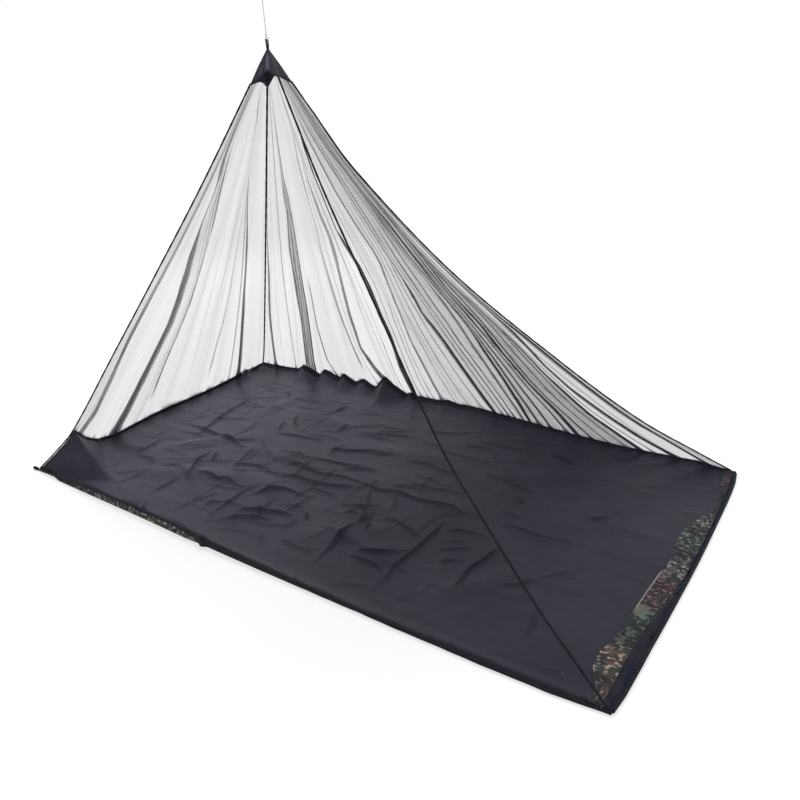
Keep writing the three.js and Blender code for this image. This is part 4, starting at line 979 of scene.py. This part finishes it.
# Painted highlight: a pale line along part of the turned-back hem.
hem_highlight_run = ramp(tree, foot_run, [(0.0, 0.0), (0.3, 0.7), (0.45, 0.0)], "CONSTANT")
hem = sums(tree, "MULTIPLY", hem_highlight_run, sums(tree, "GREATER_THAN", across, CLOTH_RUN + HEM_FROM))
surfaced(tree, shader, mixed(tree, hem, shade, PRINT_HEM_HIGHLIGHT), 0.75, 0.2)

fitted(sheet, "groundsheet", inside_finish)
sheet.data.materials.append(outside_finish)
slots = np.ones(len(sheet.data.polygons), dtype=np.int32)
slots[:(grid.shape[0] - 1) * (grid.shape[1] - 1)] = 0       # its upper face
sheet.data.polygons.foreach_set("material_index", slots)

# ---------------------------------------------------------------- Net panels
# Fine knitted mesh, nearly clear where it hangs in one layer and dark where it is gathered. Each of
# the four panels is sewn between two seams, the cap and the groundsheet, and falls in long folds.
PANELS = {          # left and right seam, floor edge, and where the panel ends on the left seam
    "net_front": ("front_head", "front_foot", "front", 0.0, 1.0),
    "net_foot_end": ("front_foot", "back_foot", "foot", 0.0, 1.0),
    "net_back": ("back_head", "back_foot", "back", 0.0, 1.0),
    "net_head_end": ("front_head", "back_head", "head", CREST_AT, CREST),
}
# Each panel starts with the density of its cloth up to the first fold, at the cap and at the floor.
# A fold has the places (down, across) that it runs through, its half width in millimetres and its
# darkness at the cap and at the floor, the part of the height that it shows over, and the density
# of the cloth from there to the next fold.
FOLDS = {
    "net_head_end": ((0.22, 0.16), [
        ([(0, 0.08), (0.13, 0.1), (0.21, 0.1), (0.3, 0.085), (0.41, 0.07), (0.54, 0.05),
          (0.67, 0.042), (0.8, 0.05), (0.91, 0.049), (1, 0.03)], (3, 9), (0.45, 0.75), (0, 1),
          (0.03, 0.05)),
        ([(0, 0.16), (0.1, 0.14), (0.16, 0.15), (0.22, 0.195), (0.3, 0.23), (0.38, 0.262),
          (0.46, 0.28), (0.55, 0.292), (0.63, 0.292), (0.78, 0.254), (0.86, 0.232), (1, 0.2)],
          (2, 34), (0.6, 0.95), (0, 1), (0.2, 0.06)),
        ([(0, 0.28), (0.07, 0.24), (0.12, 0.262), (0.21, 0.294), (0.29, 0.326), (0.39, 0.358),
          (0.47, 0.386), (0.57, 0.394), (0.66, 0.374), (0.75, 0.352), (0.8, 0.345), (1, 0.33)],
          (3, 8), (0.6, 0.75), (0, 0.84), (0.03, 0.05)),
        ([(0, 0.5), (0.09, 0.62), (0.17, 0.66), (0.31, 0.7), (0.44, 0.694), (0.57, 0.697),
          (0.69, 0.682), (0.78, 0.661), (1, 0.64)], (2.5, 8), (0.1, 0.4), (0.25, 0.85),
          (0.04, 0.04)),
        ([(0, 0.56), (0.09, 0.67), (0.17, 0.702), (0.27, 0.74), (0.39, 0.785), (0.5, 0.809),
          (0.66, 0.831), (0.76, 0.837), (0.9, 0.841), (1, 0.841)], (3, 11), (0.7, 0.95), (0.03, 1),
          (0.04, 0.08)),
    ]),
    "net_back": ((0.05, 0.05), [
        ([(0, 0.004), (0.4, 0.006), (0.54, 0.014), (0.72, 0.018), (0.82, 0.026), (1, 0.04)], (2, 7),
          (0.6, 0.9), (0.02, 1), (0.05, 0.05)),
        ([(0, 0.1), (0.08, 0.113), (0.19, 0.119), (0.27, 0.12), (0.34, 0.126), (0.45, 0.12),
          (0.53, 0.124), (0.61, 0.127), (0.75, 0.132), (1, 0.135)], (2, 6), (0.6, 0.95), (0.04, 1),
          (0.25, 0.62)),
        ([(0, 0.115), (0.11, 0.124), (0.22, 0.13), (0.28, 0.139), (0.38, 0.152), (0.48, 0.154),
          (0.58, 0.157), (0.66, 0.16), (0.77, 0.16), (0.91, 0.158), (1, 0.16)], (2, 8), (0.6, 1),
          (0.1, 1), (0.04, 0.05)),
        ([(0, 0.2), (0.5, 0.19), (0.75, 0.188), (0.91, 0.2), (1, 0.222)], (1, 4), (0.1, 0.95),
          (0.6, 1), (0.04, 0.05)),
        ([(0, 0.4), (0.08, 0.37), (0.17, 0.327), (0.25, 0.315), (0.32, 0.31), (0.42, 0.288),
          (0.52, 0.285), (0.63, 0.285), (0.7, 0.288), (0.85, 0.3), (1, 0.31)], (2, 6), (0.3, 0.75),
          (0.05, 0.85), (0.04, 0.05)),
        ([(0, 0.46), (0.1, 0.38), (0.23, 0.345), (0.32, 0.345), (0.38, 0.35), (0.48, 0.341),
          (0.56, 0.331), (0.64, 0.324), (0.78, 0.322), (0.85, 0.33), (1, 0.343)], (2, 8),
          (0.4, 0.9), (0.18, 1), (0.03, 0.04)),
        ([(0, 0.58), (0.06, 0.54), (0.1, 0.5), (0.13, 0.468), (0.2, 0.443), (0.27, 0.434),
          (0.33, 0.43), (0.44, 0.454), (0.51, 0.452), (0.61, 0.441), (0.69, 0.44), (0.84, 0.42),
          (1, 0.413)], (3.5, 10), (0.9, 1), (0, 1), (0.12, 0.12)),
        ([(0, 0.64), (0.1, 0.6), (0.21, 0.581), (0.3, 0.585), (0.37, 0.59), (0.41, 0.582),
          (0.54, 0.534), (0.69, 0.498), (0.81, 0.49), (1, 0.478)], (2, 6), (0.65, 0.75), (0.1, 1),
          (0.2, 0.25)),
        ([(0, 0.72), (0.17, 0.706), (0.25, 0.686), (0.34, 0.658), (0.44, 0.634), (0.56, 0.61),
          (0.67, 0.612), (0.8, 0.606), (1, 0.59)], (3, 11), (0.9, 1), (0.06, 1), (0.3, 0.34)),
        ([(0, 0.82), (0.14, 0.848), (0.19, 0.842), (0.28, 0.825), (0.37, 0.803), (0.47, 0.786),
          (0.55, 0.767), (0.64, 0.742), (0.76, 0.718), (1, 0.66)], (6, 20), (1, 1), (0.04, 1),
          (0.38, 0.44)),
        ([(0, 0.88), (0.16, 0.9), (0.25, 0.888), (0.34, 0.87), (0.42, 0.85), (0.52, 0.84),
          (0.62, 0.815), (0.73, 0.792), (0.82, 0.783), (1, 0.75)], (7, 26), (1, 1), (0, 1),
          (0.46, 0.52)),
        ([(0, 0.94), (0.12, 0.951), (0.21, 0.934), (0.28, 0.916), (0.37, 0.905), (0.44, 0.905),
          (0.51, 0.9), (0.58, 0.889), (0.67, 0.873), (0.75, 0.868), (0.84, 0.86), (1, 0.86)],
          (6, 22), (1, 1), (0, 1), (0.14, 0.12)),
        ([(0, 0.98), (0.3, 0.975), (0.46, 0.956), (0.53, 0.939), (0.63, 0.909), (0.71, 0.902),
          (0.79, 0.905), (0.91, 0.904), (1, 0.915)], (4, 14), (0.95, 1), (0.1, 1), (0.14, 0.14)),
        ([(0, 0.995), (0.5, 0.97), (1, 0.965)], (5, 12), (1, 1), (0, 1), (0.35, 0.35)),
    ]),
    "net_front": ((0.04, 0.0), [
        ([(0, 0.06), (0.5, 0.03), (1, 0.02)], (2, 4), (0.4, 0.2), (0, 0.8), (0.03, 0.02)),
        ([(0, 0.34), (0.5, 0.31), (1, 0.285)], (1.5, 3), (0.2, 0.0), (0, 0.5), (0.03, 0.02)),
        ([(0, 0.66), (0.5, 0.64), (1, 0.6)], (1.5, 3), (0.2, 0.0), (0, 0.5), (0.03, 0.02)),
        ([(0, 0.93), (0.5, 0.96), (1, 0.97)], (2, 4), (0.3, 0.0), (0, 0.5), (0.03, 0.02)),
    ]),
    "net_foot_end": ((0.05, 0.0), [
        ([(0, 0.2), (0.5, 0.22), (1, 0.2)], (1.5, 3), (0.4, 0.0), (0, 0.6), (0.08, 0.0)),
        ([(0, 0.45), (0.5, 0.5), (1, 0.44)], (1.5, 4), (0.5, 0.0), (0, 0.7), (0.12, 0.0)),
        ([(0, 0.75), (0.5, 0.72), (1, 0.68)], (2, 4), (0.6, 0.1), (0, 0.8), (0.16, 0.0)),
        ([(0, 0.92), (0.5, 0.93), (1, 0.9)], (2, 5), (0.7, 0.3), (0, 0.9), (0.2, 0.05)),
    ]),
}
NARROW_FOLDS = {        # the two main folds between which narrower ones lie, and how many
    "net_back": [(0, 1, 2), (1, 2, 2), (4, 5, 1), (5, 6, 2), (6, 7, 3), (7, 8, 3), (8, 9, 4),
                 (9, 10, 3), (10, 11, 3), (11, 12, 1)],
    "net_head_end": [(1, 2, 2), (3, 4, 1)],
}
CLEAR_OF_BUNDLE = 0.4   # share of the way that the head end's narrow folds stay off its bundle
scatter = np.random.RandomState(21)
for panel, places in NARROW_FOLDS.items():
    veil, main_folds = FOLDS[panel]
    folds = list(main_folds)
    for left, right, count in places:
        near, far = main_folds[left], main_folds[right]
        downs = np.linspace(0, 1, 9)
        runs = [np.interp(downs, *zip(*fold[0])) for fold in (near, far)]
        for k in range(count):
            share = (k + 1 + scatter.uniform(-0.22, 0.22)) / (count + 1)
            if panel == "net_head_end":
                share = CLEAR_OF_BUNDLE + (1 - CLEAR_OF_BUNDLE) * share
            wander = 0.06 * np.sin(downs * scatter.uniform(3, 7) + scatter.uniform(0, 6)) / (count + 1)
            run = runs[0] + (runs[1] - runs[0]) * (share + wander)
            to_foot = run[4] - 0.5
            dark = scatter.uniform(0.30, 0.75)
            if panel == "net_back":
                dark = min(dark + 0.3 * eased(to_foot / 0.2), 1)
            start = scatter.uniform(0, 0.35)
            wide = scatter.uniform(1.4, 3.2) * (1 + 1.6 * eased(to_foot / 0.25))
            folds.append((list(zip(downs, run)), (0.35 * wide, wide), (0.8 * dark, dark), (start, 1),
                          near[4]))
    folds.sort(key=lambda fold: np.interp(0.7, *zip(*fold[0])))
    FOLDS[panel] = (veil, folds)
FOLD_REACH = 1.8            # half widths of a fold that its columns take up on each side
FOLD_STEPS = (-FOLD_REACH, -1.4, -1.0, -0.5, 0.0, 0.5, 1.0, 1.4, FOLD_REACH)
FOLD_SHARE = (0.0, 0.0, 0.75, 0.95, 1.0, 0.95, 0.75, 0.0, 0.0)
STRETCHED = (0.0, 0.09, 0.03, 0.0, 0.0, 0.0, 0.03, 0.09, 0.0)      # the mesh opens beside a fold
FOLD_FLARE, FLARE_HEIGHT = 0.008, 0.055     # a wide fold spreads where it meets the floor edge
FADE_OVER = 0.08            # share of the height over which a fold comes and goes
FOLD_DEPTH = 0.010          # a fold stands out by its half width, at most by this
NET_CLEAR = {"side": 0.0022, "cap": -0.006, "floor": 0.0030}    # from seams, hem and floor edge
TUCKED_IN, TUCKED_OVER = 0.0022, 0.012      # how the net is drawn in under the cap
PLAIN_COLUMNS = 8           # columns of the mesh between two folds
PUCKER_LEAST, PUCKER_RISE = 0.009, 0.045    # height of the puckers where it is sewn to the floor edge
FULLNESS = 1.3              # width of the cloth for each metre of a panel
MESH_PITCH = 0.0024
NET_TONE, GATHERED_TONE = (0.045, 0.046, 0.085), (0.014, 0.019, 0.036)


def panel_points(panel, down, across):
    """Smooth panel between its seams, the cap's hem and the floor edge, down and across from 0 to 1."""
    left, right, edge, start, left_end = PANELS[panel]
    down, across = np.broadcast_arrays(down, across)
    s, t = down[..., None], across[..., None]
    return ((1 - t) * seam_line(left, left_end * down) + t * seam_line(right, down)
            + (1 - s) * hem_line(left, right, across)
            + s * edge_line(edge, start + (1 - start) * across)
            - (1 - s) * ((1 - t) * seam_line(left, 0.0) + t * seam_line(right, 0.0))
            - s * ((1 - t) * edge_line(edge, start) + t * edge_line(edge, 1.0)))


def fold_columns(panel, down, span, height):
    """Places across the panel for every column and row of its mesh, with its density and relief."""
    veil, folds = FOLDS[panel]
    scatter = np.random.RandomState(8)
    columns, dense, relief = [], [], []
    middles = [np.interp(down, *zip(*fold[0])) for fold in folds]
    bounds = [np.zeros_like(down), *middles, np.ones_like(down)]
    previous = np.zeros_like(down)

    def graded(pair):
        return pair[0] + (pair[1] - pair[0]) * down

    def plain(start, end, count, veil):
        for step in range(count):
            columns.append(start + (end - start) * step / PLAIN_COLUMNS)
            dense.append(graded(veil))
            relief.append(np.zeros_like(down))

    for k, (_, wide, depth, shown, beyond) in enumerate(folds):
        room = 0.48 * np.minimum(middles[k] - bounds[k], bounds[k + 2] - middles[k]) / FOLD_REACH
        flare = FOLD_FLARE * scatter.uniform(0.4, 1.4) * (wide[1] > 2.6)
        foot = np.clip(1 - (1 - down) * height / FLARE_HEIGHT, 0, 1) ** 1.5
        half = np.minimum((graded(wide) / 1000 + flare * foot) / span, np.maximum(room, 1e-5))
        strength = (graded(depth) * eased((down - shown[0]) / FADE_OVER + 1)
                    * eased((shown[1] - down) / FADE_OVER + 1))
        plain(previous, middles[k] - FOLD_REACH * half, PLAIN_COLUMNS, veil)
        for place, share, light in zip(FOLD_STEPS, FOLD_SHARE, STRETCHED):
            before, after = graded(veil), graded(beyond)
            cloth_there = before + (after - before) * (place > 0) - light * strength
            columns.append(middles[k] + place * half)
            dense.append(cloth_there + (1 - cloth_there) * strength * share)
            relief.append(share * strength * np.minimum(half * span, FOLD_DEPTH))
        previous = middles[k] + FOLD_REACH * half
        veil = beyond
    plain(previous, np.ones_like(down), PLAIN_COLUMNS + 1, veil)
    return np.stack(columns, 1), np.stack(dense, 1), np.stack(relief, 1)


def net_piece(panel):
    """The cloth of one panel, with its folds as relief and as a density of the mesh."""
    _, _, edge, start, _ = PANELS[panel]
    down = np.concatenate([np.linspace(0, 0.92, 62), np.linspace(0.93, 0.99, 8), [0.994, 0.997, 1]])
    tiny = 1e-3
    left_points, right_points = (panel_points(panel, down, 0 * down + side) for side in (0, 1))
    span = np.linalg.norm(right_points - left_points, axis=-1)
    tall = np.linalg.norm(panel_points(panel, 0.0, 0.5) - panel_points(panel, 1.0, 0.5))
    across, dense, relief = fold_columns(panel, down, span, tall)
    keep = NET_CLEAR["side"] / span
    across = keep[:, None] + across * (1 - 2 * keep[:, None])
    height = np.linalg.norm(panel_points(panel, 0.0, across[-1]) - panel_points(panel, 1.0, across[-1]),
                            axis=-1)
    top, foot = NET_CLEAR["cap"] / height, 1 - NET_CLEAR["floor"] / height
    s = top + (foot - top) * down[:, None]
    grid = panel_points(panel, s, across)
    slope_s = panel_points(panel, s + tiny, across) - panel_points(panel, s - tiny, across)
    slope_t = panel_points(panel, s, across + tiny) - panel_points(panel, s, across - tiny)
    normal = unit(np.cross(slope_t, slope_s))
    rows_of = np.asarray(EDGES[edge], float)
    floor_place = (rows_of[:, 0] - start) / (1 - start)
    pleat = np.stack([np.interp(a, rows_of[:, 3] + (floor_place - rows_of[:, 3]) * d, rows_of[:, 4])
                      for a, d in zip(across, down)])
    swell = np.sin(math.pi * down**0.8) * (1 - 0.25 * down)
    stand = pleat / 1000 * swell[:, None] + relief * np.sin(math.pi * np.clip(s, 0, 1))
    tucked = TUCKED_IN * eased(1 - s * height / TUCKED_OVER)
    grid = grid + normal * (stand - tucked)[..., None]
    scatter = np.random.RandomState(3)
    rising = PUCKER_RISE * scatter.rand(across.shape[1]) ** 3 + PUCKER_LEAST
    pucker = np.clip(1 - (1 - down[:, None]) * height / rising, 0, 1) * 0.95
    dense = 1 - (1 - dense) * (1 - pucker)
    faces = grid_faces(np.arange(dense.size).reshape(dense.shape)).tolist()
    cloth = np.stack([across * span.mean() * FULLNESS, s * height.mean() + 0 * across], -1)
    piece = mesh_piece(panel + "_mesh", grid.reshape(-1, 3), faces, cloth.reshape(-1, 2))
    marked(piece, "gather", dense)
    return piece


net_finish, tree, shader = nodes_of("knitted_net")
place, across, along = cloth_place(tree)
gather = add(tree, "Attribute", attribute_name="gather").outputs["Fac"]
stretched = add(tree, "Mapping", {"Vector": place, "Scale": (70.0, 0.8, 1.0)}).outputs[0]
streaks = noise(tree, stretched, 1.0, 4.0, roughness=0.6)
broad = add(tree, "Mapping", {"Vector": place, "Scale": (14.0, 0.6, 1.0)}).outputs[0]
thin = ramp(tree, streaks, [(0.54, 0.0), (0.68, 0.09), (0.76, 0.4)])
soft = ramp(tree, noise(tree, broad, 1.0, 3.0), [(0.35, 0.07), (0.75, 0.16)])
waves = sums(tree, "SINE", sums(tree, "MULTIPLY", streaks, 62.0))
lines = ramp(tree, waves, [(0.80, 0.0), (0.97, 1.0)])
dense = sums(tree, "MAXIMUM", sums(tree, "MULTIPLY_ADD", gather, 1.3, -0.05), 0.02)
lined = sums(tree, "MULTIPLY", lines, dense)
holes = sums(tree, "MULTIPLY", threads(tree, across, MESH_PITCH), threads(tree, along, MESH_PITCH))
knit = sums(tree, "MULTIPLY_ADD", holes, 0.45, 1.0)
single = sums(tree, "MULTIPLY", sums(tree, "ADD", sums(tree, "ADD", thin, soft), lined), knit)
opened = sums(tree, "SUBTRACT", 1.0, single)
folded = sums(tree, "SUBTRACT", 1.0, gather)
alpha = sums(tree, "SUBTRACT", 1.0, sums(tree, "MULTIPLY", opened, folded))
tree.links.new(alpha, shader.inputs["Alpha"])
gathered = ramp(tree, gather, [(0.04, 0.0), (0.24, 1.0)])
surfaced(tree, shader, mixed(tree, gathered, NET_TONE, GATHERED_TONE), 0.9, 0.15)

NET_FLAT = {        # width and length that each panel was cut from, and the area of its cut
    "net_front": ((2.25, 1.50), 1.75), "net_foot_end": ((1.25, 1.75), 1.2),
    "net_back": ((2.25, 1.50), 1.75), "net_head_end": ((1.25, 1.65), 1.1),
}
for panel, (cut, area) in NET_FLAT.items():
    piece = net_piece(panel)
    fitted(piece, panel, net_finish)

# ---------------------------------------------------------------- Floor and light
# A plain pale floor lies under the groundsheet in an even, bright room: soft light from above, and a
# window behind the head end. To the viewer the floor and the walls run together as white.
FLOOR_REACH = 16.0
FLOOR_COLOUR, FLOOR_SEEN, FLOOR_GLOW = 0.80, 0.40, 0.62    # the last two for the viewer's rays
ROOM_LIGHT = 0.55
SKY_COLOUR, WHITE = (0.96, 0.97, 1.0), (1.0, 1.0, 1.0)
SUN = {"place": (-2.2, 2.6, 2.5), "power": 2.1, "softness": 22}
WINDOW = {"place": (-2.7, 2.2, 0.7), "size": 1.8, "power": 26}


def seen_directly(tree):
    """1 for rays from the viewer, also after a reflection or through glass."""
    path = add(tree, "LightPath").outputs
    seen = sums(tree, "MAXIMUM", path["Is Camera Ray"], path["Is Glossy Ray"])
    return sums(tree, "MAXIMUM", seen, path["Is Transmission Ray"])


floor_z = float(CAD_BOX[0][2]) - 0.0005
corners = [(x * FLOOR_REACH, y * FLOOR_REACH, floor_z)
           for x, y in ((-1, -1), (1, -1), (1, 1), (-1, 1))]
floor = mesh_piece("floor", corners, [(0, 1, 2, 3)], smooth=False)
floor_finish, tree, shader = nodes_of("pale_floor")
seen = seen_directly(tree)
surfaced(tree, shader, mixed(tree, seen, (FLOOR_COLOUR,) * 3, (FLOOR_SEEN,) * 3), 1.0, 0.0)
shader.inputs["Emission Color"].default_value = (*WHITE, 1)
tree.links.new(sums(tree, "MULTIPLY", seen, FLOOR_GLOW), shader.inputs["Emission Strength"])
floor.data.materials.append(floor_finish)

world = bpy.data.worlds.new("soft_room")
bpy.context.scene.world = world
world.use_nodes = True
tree = world.node_tree
seen = seen_directly(tree)
background = tree.nodes["Background"]
tree.links.new(mixed(tree, seen, SKY_COLOUR, WHITE), background.inputs["Color"])
strength = sums(tree, "MULTIPLY_ADD", seen, 1.0 - ROOM_LIGHT, ROOM_LIGHT)
tree.links.new(strength, background.inputs["Strength"])
sun = bpy.data.objects.new("skylight", bpy.data.lights.new("skylight", "SUN"))
sun.data.energy = SUN["power"]
sun.data.angle = math.radians(SUN["softness"])
sun.location = SUN["place"]
window = bpy.data.objects.new("window", bpy.data.lights.new("window", "AREA"))
window.data.energy = WINDOW["power"]
window.data.size = WINDOW["size"]
window.location = WINDOW["place"]
for lamp in (sun, window):
    lamp.rotation_euler = (Vector(GROUND) - lamp.location).to_track_quat("-Z", "Y").to_euler()
    bpy.context.collection.objects.link(lamp)

bpy.context.scene.view_settings.view_transform = "Standard"
